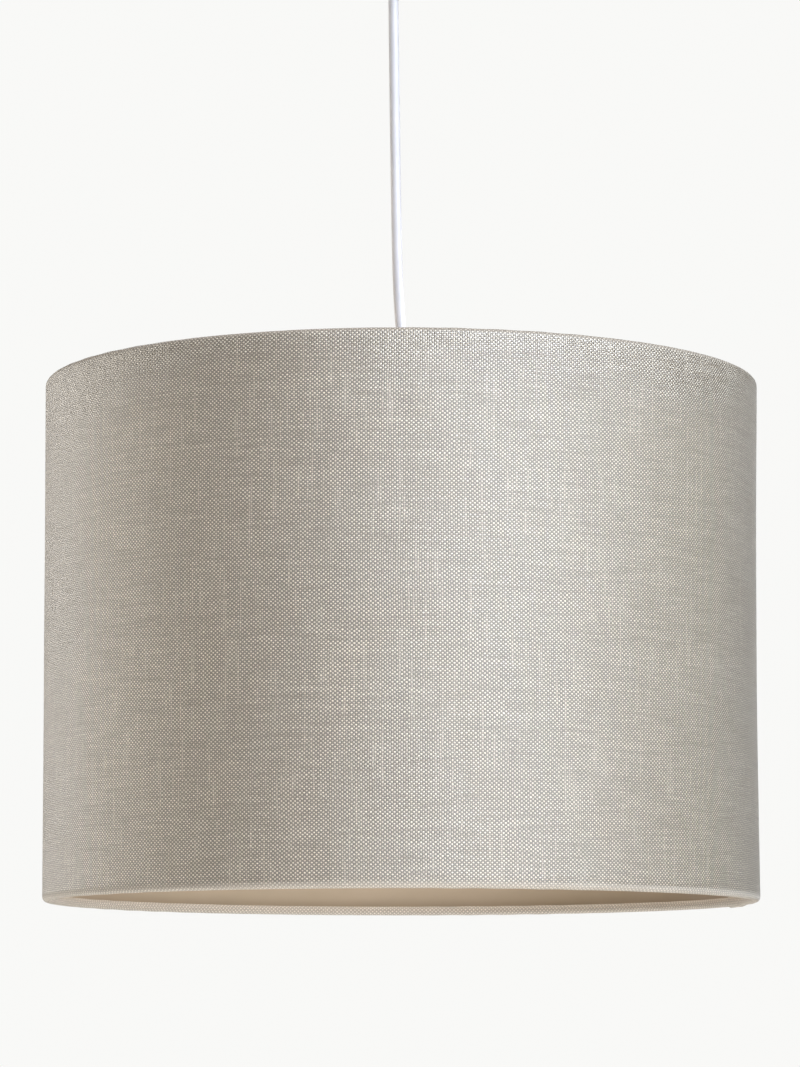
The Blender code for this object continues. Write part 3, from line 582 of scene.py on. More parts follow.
def liner_mesh():
    outer = liner_high.x
    butt = LINER_BUTT / outer
    turns = np.linspace(butt, 2 * math.pi - butt, ROUND_STEPS + 1)
    heights = np.linspace(liner_low.z, liner_high.z, LINER_ROWS)
    sides = []
    for inset in (0, LINER):
        rows = []
        for turn in turns:
            angle = SEAM_ANGLE + turn
            out = outer - inset + give(angle, heights)
            rows.append(
                np.stack([out * math.cos(angle), out * math.sin(angle), heights], 1)
            )
        sides.append(np.stack(rows))
    grid = np.concatenate([sides[0], sides[1][:, ::-1]], 1)
    along = np.tile(np.concatenate([heights, heights[::-1]]), (len(turns), 1))
    across = np.tile((turns * outer)[:, None], (1, grid.shape[1]))
    return skin("styrene_liner", grid, across, along)


# The liner's colour is darker and browner than cream styrene: painted shade and a painted warm cast
# for the inside of the drum.
SHADED_STYRENE = hard_finish(
    "styrene_with_painted_shade", (0.40, 0.325, 0.24), (0.37, 0.30, 0.215), (0.38, 0.5), 18, 500, 0.03
)
liner = link("styrene_liner", liner_mesh())
liner.data.materials.append(SHADED_STYRENE)
smooth(liner.data, 50)
settle(liner, "shade", "styrene", "liner")

# ---------------------------------------------------------------------------
# Wire frame. Two hoops of 3 mm steel wire, three arms welded to the top hoop and to the
# pressed fitter ring that they carry, all powder-coated white after welding.
# ---------------------------------------------------------------------------
POWDER_COAT = hard_finish(
    "white_powder_coat", (0.82, 0.82, 0.80), (0.79, 0.79, 0.765), (0.34, 0.46), 80, 1400, 0.03
)


def eased(profile, radius):
    """A (radius, height) outline with its corners rounded; points on the axis stay sharp."""
    found = []
    for before, here, after in zip([profile[-1], *profile], profile, [*profile[1:], profile[0]]):
        here, before, after = Vector(here), Vector(before), Vector(after)
        if here.x < 1e-9:
            found.append(tuple(here))
            continue
        into, out = before - here, after - here
        cut = min(radius, 0.4 * into.length, 0.4 * out.length)
        start, stop = here + into.normalized() * cut, here + out.normalized() * cut
        for t in (0, 1 / 3, 2 / 3, 1):
            found.append(tuple(start * (1 - t) ** 2 + here * 2 * t * (1 - t) + stop * t * t))
    return found


def turned_mesh(name, profile, steps, axis=(0, 0), span=2 * math.pi, shape=None, closed=True):
    """A closed (radius, height) outline turned round an upright axis, or through part of a turn."""
    whole = abs(span - 2 * math.pi) < 1e-9
    rows = steps if whole else steps + 1
    count = len(profile)
    points = []
    for row in range(rows):
        angle = span * row / steps
        for radius, height in profile:
            out = radius if shape is None else shape(radius, height, angle)
            points.append(
                (axis[0] + out * math.cos(angle), axis[1] + out * math.sin(angle), height)
            )
    faces = []
    for row in range(steps):
        after = (row + 1) % rows
        for k in range(count if closed else count - 1):
            j = (k + 1) % count
            faces.append(
                (row * count + k, after * count + k, after * count + j, row * count + j)
            )
    mesh = bpy.data.meshes.new(name)
    mesh.from_pydata(points, [], faces)
    return clean(mesh, join=0.0005 * MM, sliver=0.0001 * MM)


def turned(name, profile, steps, finish, ease=0.25 * MM, **settings):
    """A turned piece with rounded corners and its finish."""
    outline = eased(profile, ease) if ease else profile
    piece = link(name, turned_mesh(name, outline, steps, **settings))
    piece.data.materials.append(finish)
    smooth(piece.data)
    return piece


def ring_outline(radius, height, wire, sides=14):
    turns = [2 * math.pi * k / sides for k in range(sides)]
    return [(radius + wire * math.cos(a), height + wire * math.sin(a)) for a in turns]


HOOP_STEPS = 240
for name, node, height in (
    ("top_hoop", "top_ring", HOOP_HIGH),
    ("bottom_hoop", "bottom_ring", HOOP_LOW),
):
    outline = ring_outline(HOOP_RADIUS, height, HOOP_WIRE / 2)
    settle(turned(name, outline, HOOP_STEPS, POWDER_COAT, 0), "shade", "white_steel", node)


def mesh_tree(name, **inputs):
    """A geometry tree with a mesh, named inputs and a finish coming in and a mesh going out."""
    tree = bpy.data.node_groups.new(name, "GeometryNodeTree")
    inputs = {"Geometry": "Geometry", **inputs, "Finish": "Material"}
    for label, kind in inputs.items():
        tree.interface.new_socket(
            label.replace("_", " "), in_out="INPUT", socket_type="NodeSocket" + kind
        )
    tree.interface.new_socket("Geometry", in_out="OUTPUT", socket_type="NodeSocketGeometry")
    nodes = Nodes(tree)
    return nodes, nodes.add("NodeGroupInput")


def finished(nodes, start, made, shift):
    """Moves what a tree has made by one of its inputs, gives it its finish and sends it out."""
    moved = nodes.add("GeometryNodeTransform")
    nodes.join(made, moved.inputs["Geometry"])
    nodes.join(start.outputs[shift], moved.inputs["Translation"])
    coated = nodes.add("GeometryNodeSetMaterial")
    nodes.join(moved.outputs[0], coated.inputs["Geometry"])
    nodes.join(start.outputs["Finish"], coated.inputs["Material"])
    nodes.join(coated.outputs[0], nodes.add("NodeGroupOutput").inputs[0])
    return nodes.tree


def repeat_tree():
    """Copies of a mesh at equal turns round an upright axis, joined where they meet."""
    nodes, start = mesh_tree(
        "repeat_round_axis", Count="Int", First_Turn="Float", Axis="Vector", Join_Distance="Float"
    )
    points = nodes.add("GeometryNodePoints")
    nodes.join(start.outputs["Count"], points.inputs["Count"])
    index = nodes.add("GeometryNodeInputIndex")
    step = nodes.sum("DIVIDE", 2 * math.pi, start.outputs["Count"])
    turn = nodes.plus(nodes.times(index.outputs[0], step), start.outputs["First Turn"])
    spin = nodes.add("ShaderNodeCombineXYZ")
    nodes.join(turn, spin.inputs["Z"])
    copies = nodes.add("GeometryNodeInstanceOnPoints")
    nodes.join(points.outputs[0], copies.inputs["Points"])
    nodes.join(start.outputs["Geometry"], copies.inputs["Instance"])
    nodes.join(spin.outputs[0], copies.inputs["Rotation"])
    real = nodes.add("GeometryNodeRealizeInstances")
    nodes.join(copies.outputs[0], real.inputs[0])
    weld = nodes.add("GeometryNodeMergeByDistance")
    nodes.join(real.outputs[0], weld.inputs["Geometry"])
    nodes.join(start.outputs["Join Distance"], weld.inputs["Distance"])
    return finished(nodes, start, weld.outputs[0], "Axis")


def grown(name, mesh, tree, **values):
    """The plain mesh that a node tree makes from a mesh, given its named inputs."""
    piece = link(name, mesh)
    grower = piece.modifiers.new("Grow", "NODES")
    grower.node_group = tree
    sockets = {
        item.name: item.identifier
        for item in tree.interface.items_tree
        if item.in_out == "INPUT"
    }
    for label, value in values.items():
        grower[sockets[label.replace("_", " ")]] = value
    piece.data = applied(piece)
    piece.data.name = name
    smooth(piece.data)
    return piece


REPEAT = repeat_tree()
ARM_WIRE = 3.0 * MM
ARM_FIRST = math.radians(30)
ARM_COUNT = 3
fitter_low, fitter_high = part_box("fitter_ring")
FITTER_LEVEL = (fitter_low.z + fitter_high.z) / 2
FITTER_RADIUS = fitter_high.x
FITTER_BORE = 21 * MM


def bead(shape, place, size):
    """A weld bead: a small flattened ball of metal."""
    spread = Matrix.Translation(place) @ Matrix.Diagonal((*size, 1))
    bmesh.ops.create_uvsphere(shape, u_segments=14, v_segments=9, radius=1, matrix=spread)


def arm_mesh():
    outer, inner = HOOP_RADIUS - 0.6 * MM, FITTER_RADIUS - 0.5 * MM
    route = [
        (outer, 0, HOOP_HIGH),
        (outer - 8 * MM, 0, HOOP_HIGH),
        (outer - 13 * MM, 0, HOOP_HIGH - 1.0 * MM),
        (inner + 13 * MM, 0, FITTER_LEVEL + 1.0 * MM),
        (inner + 8 * MM, 0, FITTER_LEVEL),
        (inner, 0, FITTER_LEVEL),
    ]
    mesh = tube_mesh("spider_arm", smooth_route(route, 8), ARM_WIRE / 2, 5)
    shape = bmesh.new()
    shape.from_mesh(mesh)
    for radius, height, size in (
        (HOOP_RADIUS - 1.2 * MM, HOOP_HIGH, (1.5 * MM, 2.4 * MM, 1.75 * MM)),
        (FITTER_RADIUS + 0.4 * MM, FITTER_LEVEL, (1.9 * MM, 2.3 * MM, 1.6 * MM)),
    ):
        bead(shape, (radius, 0, height), size)
    shape.to_mesh(mesh)
    shape.free()
    return mesh


arms = grown(
    "spider_arms", arm_mesh(), REPEAT,
    Count=ARM_COUNT, First_Turn=ARM_FIRST, Join_Distance=0.0, Finish=POWDER_COAT,
)
settle(arms, "shade", "white_steel", "arm_1", "arm_2", "arm_3")

fitter = turned(
    "spider_fitter",
    [
        (FITTER_BORE, fitter_high.z),
        (FITTER_RADIUS, fitter_high.z),
        (FITTER_RADIUS, fitter_low.z),
        (FITTER_BORE, fitter_low.z),
    ],
    96,
    POWDER_COAT,
    0.4 * MM,
)
settle(fitter, "shade", "white_steel", "fitter_ring")

# ---------------------------------------------------------------------------
# Reducer ring. A push-in ring of white polypropylene that brings the fitter's bore down
# to the lampholder's thread. It snaps in from below and its lip stays under the fitter.
# ---------------------------------------------------------------------------
WHITE_PLASTIC = hard_finish(
    "white_moulded_plastic", (0.84, 0.84, 0.82), (0.81, 0.81, 0.785), (0.30, 0.42), 40, 1100, 0.012
)
reducer_low, reducer_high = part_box("reducer_ring")
REDUCER_BORE = 14.6 * MM
REDUCER_SPIGOT = 20.7 * MM
reducer_shoulder = fitter_low.z - 0.3 * MM
reducer = turned(
    "reducer",
    [
        (REDUCER_BORE, reducer_high.z),
        (REDUCER_SPIGOT, reducer_high.z),
        (REDUCER_SPIGOT, reducer_shoulder),
        (reducer_high.x, reducer_shoulder),
        (reducer_high.x, reducer_low.z),
        (REDUCER_BORE, reducer_low.z),
    ],
    96,
    WHITE_PLASTIC,
    0.3 * MM,
)
settle(reducer, "shade", "white_plastic", "reducer_ring")

# ---------------------------------------------------------------------------
# Lampholder body. A white moulding with a neck for its cap, a flange that sits on the
# reducer, and a coarsely threaded barrel below, open at the bottom for the bulb's cap.
# ---------------------------------------------------------------------------
holder_low, holder_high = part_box("holder_body")
FLANGE_LOW = reducer_high.z + 0.3 * MM
FLANGE_HIGH = FLANGE_LOW + 2.0 * MM
BARREL = 14.0 * MM
BARREL_BORE = 12.0 * MM
NECK = 13.5 * MM
THREAD_PITCH = 2.5 * MM
THREAD_DEPTH = 0.8 * MM
THREAD_ROWS = 130
LEDGE_LOW = FLANGE_LOW - 10.0 * MM
LEDGE_HIGH = LEDGE_LOW + 1.5 * MM
LEDGE_BORE = 10.5 * MM


def thread(radius, height, angle):
    """The barrel's outside, cut with a rounded thread that fades out at both ends."""
    if abs(radius - BARREL) > 0.05 * MM or height > FLANGE_LOW - 0.5 * MM:
        return radius
    phase = 2 * math.pi * height / THREAD_PITCH - angle
    groove = 0.5 - 0.5 * math.tanh(2.2 * math.sin(phase)) / math.tanh(2.2)
    fade = min(1, (height - holder_low.z) / (1.5 * MM), (FLANGE_LOW - height) / (3 * MM))
    return radius - THREAD_DEPTH * groove * max(0, fade)


barrel_heights = np.linspace(FLANGE_LOW - 0.6 * MM, holder_low.z + 0.4 * MM, THREAD_ROWS)
holder_outline = eased(
    [
        (BARREL_BORE, holder_high.z),
        (NECK, holder_high.z),
        (NECK, FLANGE_HIGH),
        (holder_high.x, FLANGE_HIGH),
        (holder_high.x, FLANGE_LOW),
        (BARREL, FLANGE_LOW),
    ],
    0.25 * MM,
)[1:-2]
holder_outline += [(BARREL, float(z)) for z in barrel_heights]
holder_outline += [
    (BARREL - 0.4 * MM, holder_low.z),
    (BARREL_BORE + 0.3 * MM, holder_low.z),
    (BARREL_BORE, holder_low.z + 0.3 * MM),
    (BARREL_BORE, LEDGE_LOW),
    (LEDGE_BORE, LEDGE_LOW),
    (LEDGE_BORE, LEDGE_HIGH),
    (BARREL_BORE, LEDGE_HIGH),
]
holder = turned("holder_moulding", holder_outline, 96, WHITE_PLASTIC, 0, shape=thread)
settle(holder, "lampholder", "white_plastic", "holder_body")

# ---------------------------------------------------------------------------
# Shade ring. The fluted white ring nut that runs up the barrel's thread and clamps the
# reducer, and so the whole shade, against the holder's flange.
# ---------------------------------------------------------------------------
ring_low, ring_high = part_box("shade_ring")
RING_BORE = 14.3 * MM
RING_RADIUS = 20.5 * MM
RING_FLUTES = 16
FLUTE_DEPTH = 0.7 * MM


def fluted(radius, height, angle):
    """The ring's outside dips at the sector's two edges, which are the middles of flutes."""
    if radius < RING_RADIUS - 1.5 * MM:
        return radius
    share = angle / (2 * math.pi / RING_FLUTES)
    dip = max(0.0, 1 - min(share, 1 - share) / 0.27) ** 2
    return radius - FLUTE_DEPTH * dip


ring_sector = turned_mesh(
    "ring_sector",
    eased(
        [
            (RING_BORE, ring_high.z),
            (RING_RADIUS, ring_high.z),
            (RING_RADIUS, ring_low.z),
            (RING_BORE, ring_low.z),
        ],
        0.8 * MM,
    ),
    12,
    span=2 * math.pi / RING_FLUTES,
    shape=fluted,
)
shade_ring = grown(
    "shade_ring_nut", ring_sector, REPEAT,
    Count=RING_FLUTES, First_Turn=0.0, Join_Distance=0.002 * MM, Finish=WHITE_PLASTIC,
)
settle(shade_ring, "shade_ring", "white_plastic", "shade_ring")

# ---------------------------------------------------------------------------
# Holder cap and cord grip. The cap screws on the neck over the terminals, ribbed round
# its skirt for the fingers; the tapered grip above it clamps the flex with one screw.
# ---------------------------------------------------------------------------
cap_low, cap_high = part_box("holder_cap")
grip_low, grip_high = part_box("cord_grip")
CAP_RIBS = 24
CAP_RIB = 0.35 * MM
CAP_SKIRT = 8 * MM
CAP_WALL = 1.8 * MM
CAP_HOLE = 4.2 * MM
CAP_LAND = 7.5 * MM
CAP_RADIUS = 17.4 * MM
CAP_NECK = NECK + 0.3 * MM


def ellipse(centre, radii, start, end, count):
    turns = [start + (end - start) * k / (count - 1) for k in range(count)]
    return [
        (centre[0] + radii[0] * math.cos(a), centre[1] + radii[1] * math.sin(a))
        for a in turns
    ]


def ribbed(radius, height, angle):
    if height > cap_low.z + CAP_SKIRT - 0.8 * MM or radius < CAP_RADIUS - 0.5 * MM:
        return radius
    share = angle / (2 * math.pi / CAP_RIBS)
    return radius - CAP_RIB * max(0.0, math.cos(2 * math.pi * share)) ** 0.6


cap_shoulder = cap_low.z + CAP_SKIRT
cap_rise = cap_high.z - cap_shoulder
cap_outline = [
    (CAP_HOLE, cap_high.z),
    *ellipse((CAP_LAND, cap_shoulder), (CAP_RADIUS - CAP_LAND, cap_rise), math.pi / 2, 0, 18),
    (CAP_RADIUS, cap_shoulder - 0.7 * MM),
    (CAP_RADIUS, cap_shoulder - 0.9 * MM),
    (CAP_RADIUS, cap_low.z + 0.5 * MM),
    (CAP_RADIUS - 0.4 * MM, cap_low.z),
    (CAP_NECK, cap_low.z),
    (CAP_NECK, holder_high.z + 0.3 * MM),
    (CAP_RADIUS - CAP_WALL, holder_high.z + 0.6 * MM),
    *ellipse(
        (CAP_HOLE, cap_shoulder),
        (CAP_RADIUS - CAP_WALL - CAP_HOLE, cap_rise - CAP_WALL),
        0, math.pi / 2, 18,
    ),
]
cap_sector = turned_mesh(
    "cap_sector", cap_outline, 6, span=2 * math.pi / CAP_RIBS, shape=ribbed
)
cap = grown(
    "holder_cap_dome", cap_sector, REPEAT,
    Count=CAP_RIBS, First_Turn=0.0, Join_Distance=0.002 * MM, Finish=WHITE_PLASTIC,
)
settle(cap, "lampholder", "white_plastic", "holder_cap")

GRIP_BORE = FLEX_DIAMETER / 2 + 0.3 * MM
GRIP_MOUTH = FLEX_DIAMETER / 2 + 1.8 * MM
grip_middle = (grip_low.z + grip_high.z) / 2
grip = turned(
    "cord_grip_collar",
    [
        (GRIP_MOUTH, grip_high.z),
        (GRIP_MOUTH + 1.0 * MM, grip_high.z),
        (grip_high.y, grip_middle),
        (grip_high.y, grip_low.z),
        (GRIP_BORE, grip_low.z),
        (GRIP_BORE, grip_high.z - 5 * MM),
    ],
    72,
    WHITE_PLASTIC,
    0.5 * MM,
)
settle(grip, "lampholder", "white_plastic", "cord_grip")

ZINC = hard_finish(
    "zinc_plated_steel", (0.64, 0.64, 0.62), (0.54, 0.545, 0.54), (0.24, 0.42), 300, 1600, 0.01, 1.0
)


def carved(piece, tool):
    """The mesh of a piece with a tool's shape cut out of it; the tool is used up."""
    cut = piece.modifiers.new("Cut", "BOOLEAN")
    cut.operation, cut.solver, cut.object = "DIFFERENCE", "EXACT", tool
    made = applied(piece)
    bpy.data.objects.remove(tool)
    return made


def screw_head_mesh(name, place, turn, radius, height, shank, length, slot):
    """A round-headed screw along +Z at the origin, slotted, then set in its place."""
    dome = ellipse((0, 0), (radius, height), math.pi / 2, 0, 9)
    outline = [*dome, (shank, 0), (shank, -length), (0, -length)]
    mesh = turned_mesh(name, outline, 36, closed=False)
    shape = bmesh.new()
    size = Matrix.Diagonal((2.4 * radius, slot, height, 1))
    bmesh.ops.create_cube(shape, size=1, matrix=Matrix.Translation((0, 0, height)) @ size)
    head = link(name + "_head", mesh)
    made = carved(head, link(name + "_tool", drawn(name + "_slot", shape)))
    bpy.data.objects.remove(head)
    made.transform(Matrix.Translation(place) @ turn)
    made.name = name
    return made


screw_low, screw_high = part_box("grip_screw")
grip_screw = link(
    "grip_screw_slotted",
    screw_head_mesh(
        "grip_screw_slotted",
        (screw_high.x, 0, (screw_low.z + screw_high.z) / 2),
        Matrix.Rotation(math.pi / 2, 4, "Y"),
        1.5 * MM, 0.5 * MM, 1.3 * MM, screw_high.x - screw_low.x, 0.5 * MM,
    ),
)
grip_screw.data.materials.append(ZINC)
smooth(grip_screw.data)
settle(grip_screw, "lampholder", "steel", "grip_screw")

# ---------------------------------------------------------------------------
# Contacts. A bayonet sleeve of nickelled brass takes the bulb's pins; above it two brass
# plungers ride on coil springs in a porcelain block, with the flex's cores behind them.
# ---------------------------------------------------------------------------
BRASS = hard_finish(
    "bright_brass", (0.83, 0.66, 0.36), (0.70, 0.52, 0.25), (0.20, 0.38), 220, 1500, 0.01, 1.0
)
PORCELAIN = hard_finish(
    "glazed_porcelain", (0.80, 0.78, 0.73), (0.74, 0.72, 0.66), (0.20, 0.34), 90, 700, 0.02,
    coat=0.4,
)
PLUNGER_TIP = 1.65 * MM
PLUNGER_FLANGE = 2.25 * MM
PLUNGER_FLANGE_HEIGHT = 1.0 * MM
SPRING_WIRE = 0.44 * MM
SPRING_LINE = 1.85 * MM
SPRING_TURNS = 4.0
COIL_STEPS = 30
SPRING_SIDES = 10


def spring_tree():
    """A coil spring with closed wire ends: a spiral with a round wire swept along it."""
    nodes, start = mesh_tree(
        "coil_spring",
        Coil_Radius="Float", Wire_Radius="Float", Turns="Float", Height="Float", Foot="Vector",
    )
    spiral = nodes.add("GeometryNodeCurveSpiral")
    spiral.inputs["Resolution"].default_value = COIL_STEPS
    nodes.join(start.outputs["Turns"], spiral.inputs["Rotations"])
    nodes.join(start.outputs["Coil Radius"], spiral.inputs["Start Radius"])
    nodes.join(start.outputs["Coil Radius"], spiral.inputs["End Radius"])
    nodes.join(start.outputs["Height"], spiral.inputs["Height"])
    wire = nodes.add("GeometryNodeCurvePrimitiveCircle")
    wire.inputs["Resolution"].default_value = SPRING_SIDES
    nodes.join(start.outputs["Wire Radius"], wire.inputs["Radius"])
    sweep = nodes.add("GeometryNodeCurveToMesh")
    nodes.join(spiral.outputs[0], sweep.inputs["Curve"])
    nodes.join(wire.outputs[0], sweep.inputs["Profile Curve"])
    sweep.inputs["Fill Caps"].default_value = True
    return finished(nodes, start, sweep.outputs[0], "Foot")


SPRING = spring_tree()
for side in ("left", "right"):
    low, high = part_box(f"plunger_{side}")
    centre = (low.x + high.x) / 2
    tip_level = low.z + PLUNGER_TIP
    plunger = turned(
        f"contact_plunger_{side}",
        [
            (0, high.z),
            (PLUNGER_FLANGE - 0.2 * MM, high.z),
            (PLUNGER_FLANGE, high.z - 0.2 * MM),
            (PLUNGER_FLANGE, high.z - PLUNGER_FLANGE_HEIGHT),
            (PLUNGER_TIP, high.z - PLUNGER_FLANGE_HEIGHT),
            *ellipse((0, tip_level), (PLUNGER_TIP, PLUNGER_TIP), 0, -math.pi / 2, 9)[:-1],
            (0, low.z),
        ],
        36,
        BRASS,
        0,
        axis=(centre, 0),
        closed=False,
    )
    settle(plunger, f"plunger_{side}", "brass", f"plunger_{side}")

    spring_low, spring_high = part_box(f"spring_{side}")
    foot = spring_low.z + SPRING_WIRE / 2
    rise = spring_high.z - spring_low.z - SPRING_WIRE
    spring = grown(
        f"contact_spring_{side}", bpy.data.meshes.new("seed"), SPRING,
        Coil_Radius=SPRING_LINE, Wire_Radius=SPRING_WIRE / 2, Turns=SPRING_TURNS,
        Height=rise, Foot=(centre, 0.0, foot), Finish=ZINC,
    )
    settle(spring, "lampholder", "steel", f"spring_{side}")
    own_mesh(spring)


def repaint(node, finish):
    """A CAD node whose shape is right keeps it and takes a better finish."""
    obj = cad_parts[node]
    obj.data.materials.clear()
    obj.data.materials.append(finish)


BROWN_CORE = hard_finish(
    "brown_core", (0.23, 0.11, 0.055), (0.19, 0.085, 0.04), (0.35, 0.5), 200, 900, 0.01
)
BLUE_CORE = hard_finish(
    "blue_core", (0.07, 0.19, 0.47), (0.05, 0.155, 0.40), (0.35, 0.5), 200, 900, 0.01
)
for node, finish in (
    ("bayonet_sleeve", BRASS),
    ("contact_block", PORCELAIN),
    ("holder_terminal_left", BRASS),
    ("holder_terminal_right", BRASS),
    ("holder_core_left", BROWN_CORE),
    ("holder_core_right", BLUE_CORE),
    ("flex_tail", WHITE_PVC),
    ("rose_terminal_block", PORCELAIN),
    ("rose_terminal_left", BRASS),
    ("rose_terminal_right", BRASS),
    ("rose_core_left", BROWN_CORE),
    ("rose_core_right", BLUE_CORE),
):
    repaint(node, finish)

# ---------------------------------------------------------------------------
# Ceiling rose. A white base screwed to the ceiling through its plate, and a domed cover
# that screws up over its boss and lets the flex out through its nose.
# ---------------------------------------------------------------------------
rose_low, rose_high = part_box("rose_base")
ROSE_AXIS = ((rose_low.x + rose_high.x) / 2, 0.0)
ROSE_PLATE = 3 * MM
ROSE_PLATE_RADIUS = 36 * MM
ROSE_BOSS = 29 * MM
ROSE_BOSS_BORE = 26.5 * MM
ROSE_SCREW_REACH = 19 * MM
ROSE_HOLE = 2.2 * MM
MAINS_ENTRY = (0.0, 17 * MM)
MAINS_RADIUS = 5 * MM
plate_low = rose_high.z - ROSE_PLATE
rose_base = turned(
    "rose_base_plate",
    [
        (0, rose_high.z),
        (ROSE_PLATE_RADIUS, rose_high.z),
        (ROSE_PLATE_RADIUS, plate_low),
        (ROSE_BOSS, plate_low),
        (ROSE_BOSS, rose_low.z),
        (ROSE_BOSS_BORE, rose_low.z),
        (ROSE_BOSS_BORE, plate_low),
        (0, plate_low),
    ],
    96,
    WHITE_PLASTIC,
    0.5 * MM,
    axis=ROSE_AXIS,
    closed=False,
)


def drill(piece, holes, depth):
    """Round holes through a piece: (x, y, radius) each, cut at once."""
    shape = bmesh.new()
    for x, y, radius in holes:
        bmesh.ops.create_cone(
            shape, cap_ends=True, segments=32, radius1=radius, radius2=radius,
            depth=depth, matrix=Matrix.Translation((x, y, 0)),
        )
    piece.data = carved(piece, link("drill", drawn("drill", shape)))
    smooth(piece.data)


drill(
    rose_base,
    [
        (ROSE_AXIS[0] - ROSE_SCREW_REACH, 0, ROSE_HOLE),
        (ROSE_AXIS[0] + ROSE_SCREW_REACH, 0, ROSE_HOLE),
        (ROSE_AXIS[0] + MAINS_ENTRY[0], MAINS_ENTRY[1], MAINS_RADIUS),
    ],
    4 * ROSE_PLATE,
)
settle(rose_base, "ceiling_rose", "white_plastic", "rose_base")

screw_low, screw_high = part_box("rose_screw_left")
HEAD_HEIGHT = 2.4 * MM
seat = screw_low.z + HEAD_HEIGHT
rose_screw_mesh = screw_head_mesh(
    "rose_screw", (ROSE_SCREW_REACH, 0, seat), Matrix.Rotation(math.pi, 4, "X"),
    4.0 * MM, HEAD_HEIGHT, 1.9 * MM, screw_high.z - seat, 1.0 * MM,
)
rose_screws = grown(
    "rose_screws", rose_screw_mesh, REPEAT,
    Count=2, First_Turn=0.0, Axis=(ROSE_AXIS[0], 0.0, 0.0), Join_Distance=0.0, Finish=ZINC,
)
settle(rose_screws, "ceiling_rose", "steel", "rose_screw_left", "rose_screw_right")

cover_cap_low, cover_cap_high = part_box("rose_cover")
ROSE_OUTLET = FLEX_DIAMETER / 2 + 0.9 * MM
ROSE_NOSE = 6.5 * MM
ROSE_SKIRT = 7 * MM
ROSE_BORE = ROSE_BOSS + 0.3 * MM
rose_outer = (cover_cap_high.x - cover_cap_low.x) / 2
rose_shoulder = cover_cap_high.z - ROSE_SKIRT
nose = cover_cap_low.z
hollow_top = rose_low.z - 0.3 * MM
rose_cover = turned(
    "rose_cover_dome",
    [
        (ROSE_BORE, cover_cap_high.z),
        (rose_outer - 0.4 * MM, cover_cap_high.z),
        (rose_outer, cover_cap_high.z - 0.4 * MM),
        *ellipse(
            (ROSE_NOSE, rose_shoulder), (rose_outer - ROSE_NOSE, rose_shoulder - nose - 1 * MM),
            0, -math.pi / 2, 22,
        ),
        (ROSE_NOSE - 0.2 * MM, nose + 0.3 * MM),
        (ROSE_NOSE - 0.6 * MM, nose),
        (ROSE_OUTLET + 0.6 * MM, nose),
        (ROSE_OUTLET + 0.15 * MM, nose + 0.2 * MM),
        (ROSE_OUTLET, nose + 0.6 * MM),
        (ROSE_OUTLET, nose + 2.3 * MM),
        (ROSE_OUTLET + 0.6 * MM, nose + 3.2 * MM),
        *ellipse(
            (ROSE_NOSE, hollow_top), (ROSE_BORE - ROSE_NOSE, hollow_top - nose - 3.2 * MM),
            -math.pi / 2, 0, 22,
        ),
    ],
    96,
    WHITE_PLASTIC,
    0,
    axis=ROSE_AXIS,
)
settle(rose_cover, "rose_cover", "white_plastic", "rose_cover")

# ---------------------------------------------------------------------------
# Studio. A pale floor at a room's depth under the ceiling and a near-white surround. The
# cool key is high on the right; warmer, weaker lamps fill from the left, behind, below and
# above, and a small dim one inside the drum stands for the light that comes through it.
# ---------------------------------------------------------------------------
FLOOR_LEVEL = -2.4
FLOOR_REACH = 60
ROOM_LIGHT = 0.01
BACKDROP = (0.945, 0.945, 0.93, 1)
FLOOR_TONE = (0.84, 0.84, 0.825, 1)


def area_light(name, azimuth, elevation, distance, size, power, colour):
    """A soft area light aimed at the shade's middle; azimuth 0 is behind the eye."""
    middle = Vector((0, 0, (SHADE_LOW + SHADE_HIGH) / 2))
    a, e = math.radians(azimuth), math.radians(elevation)
    back = Vector((math.sin(a) * math.cos(e), -math.cos(a) * math.cos(e), math.sin(e)))
    data = bpy.data.lights.new(name, "AREA")
    data.shape = "RECTANGLE"
    data.size, data.size_y = size
    data.energy = power
    data.color = colour
    lamp = link(name, data)
    lamp.visible_camera = False
    lamp.location = middle + back * distance
    lamp.rotation_mode = "QUATERNION"
    lamp.rotation_quaternion = (-back).to_track_quat("-Z", "Y")


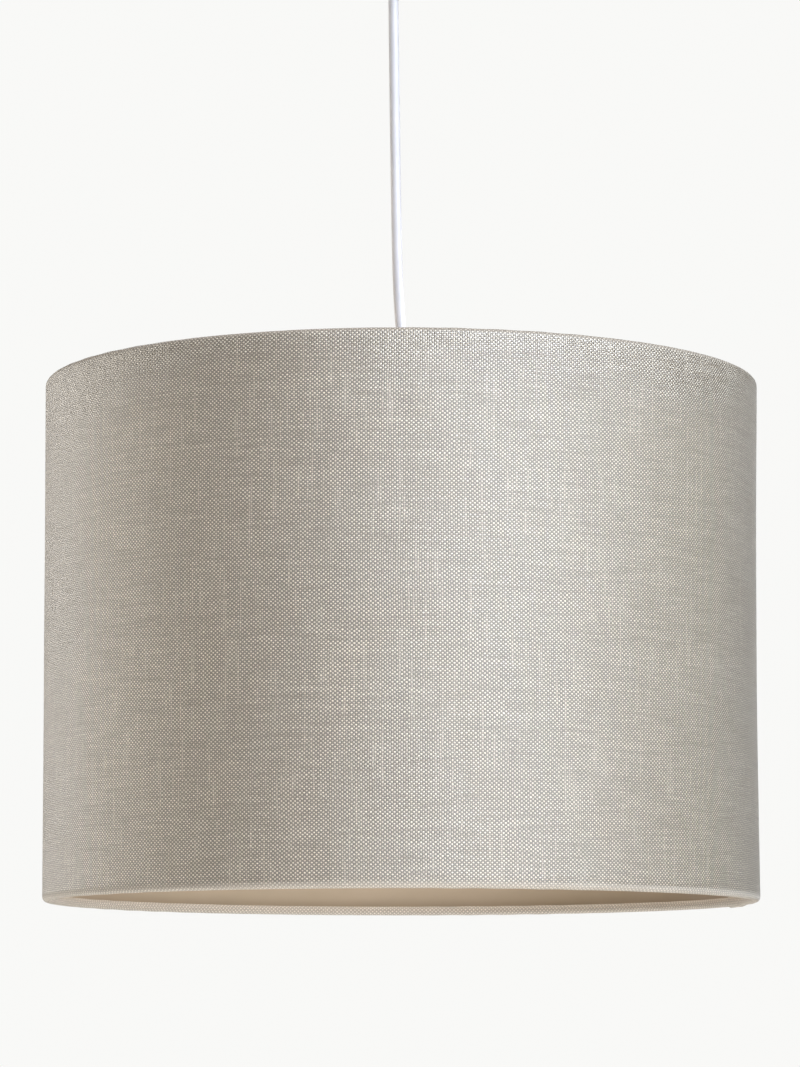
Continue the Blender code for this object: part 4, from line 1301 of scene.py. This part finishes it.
COOL, NEUTRAL, WARM = (0.84, 0.91, 1.0), (1.0, 0.98, 0.97), (1.0, 0.95, 0.86)
BOUNCED, AMBER = (1.0, 0.95, 0.91), (1.0, 0.80, 0.65)
for lamp in (
    ("key_right", 41, 24, 2.2, (1.2, 0.9), 56, COOL),
    ("key_above", 36, 52, 2.2, (1.4, 0.8), 20, COOL),
    ("front_left", -30, 5, 2.2, (0.8, 1.2), 3.5, NEUTRAL),
    ("front_low", 5, -20, 2.0, (1.2, 0.6), 4.5, WARM),
    ("side_left", -105, 12, 2.2, (1.8, 1.5), 24, WARM),
    ("rear_left", -130, 0, 2.2, (1.4, 1.4), 11, NEUTRAL),
    ("rear_fill", 175, 12, 2.4, (1.2, 1.2), 16, NEUTRAL),
    ("floor_bounce", 0, -72, 1.7, (1.4, 1.4), 23, BOUNCED),
    ("floor_right", 35, -62, 1.7, (0.7, 0.7), 6, COOL),
    ("through_cloth", 112, 32, 0.14, (0.10, 0.10), 0.68, NEUTRAL),
    ("overhead", 0, 85, 2.2, (1.6, 1.6), 15, AMBER),
):
    area_light(*lamp)

world = bpy.data.worlds.new("studio")
bpy.context.scene.world = world
world.use_nodes = True
sky = Nodes(world.node_tree)
sky_seen = sky.add("ShaderNodeBackground")
sky_seen.inputs["Color"].default_value = BACKDROP
sky_lit = sky.add("ShaderNodeBackground")
sky_lit.inputs["Color"].default_value = (1, 1, 1, 1)
sky_lit.inputs["Strength"].default_value = ROOM_LIGHT
sky.eye_only(sky_lit, sky_seen, world.node_tree.nodes["World Output"])

level = Matrix.Translation((0, 0, FLOOR_LEVEL))
shape = bmesh.new()
bmesh.ops.create_grid(shape, x_segments=1, y_segments=1, size=FLOOR_REACH, matrix=level)
floor = link("floor", drawn("floor", shape))
# The lamps light the shade, not the room, so the floor holds its own pale tone to the eye.
floor_finish, floor_nodes, floor_shader = new_material("pale_floor")
floor_shader.inputs["Base Color"].default_value = (0.80, 0.80, 0.78, 1)
floor_shader.inputs["Roughness"].default_value = 0.8
floor_seen = floor_nodes.add("ShaderNodeEmission")
floor_seen.inputs["Color"].default_value = FLOOR_TONE
floor_end = floor_finish.node_tree.nodes["Material Output"]
floor_nodes.eye_only(floor_shader, floor_seen, floor_end)
floor.data.materials.append(floor_finish)

bpy.context.scene.view_settings.view_transform = "Standard"
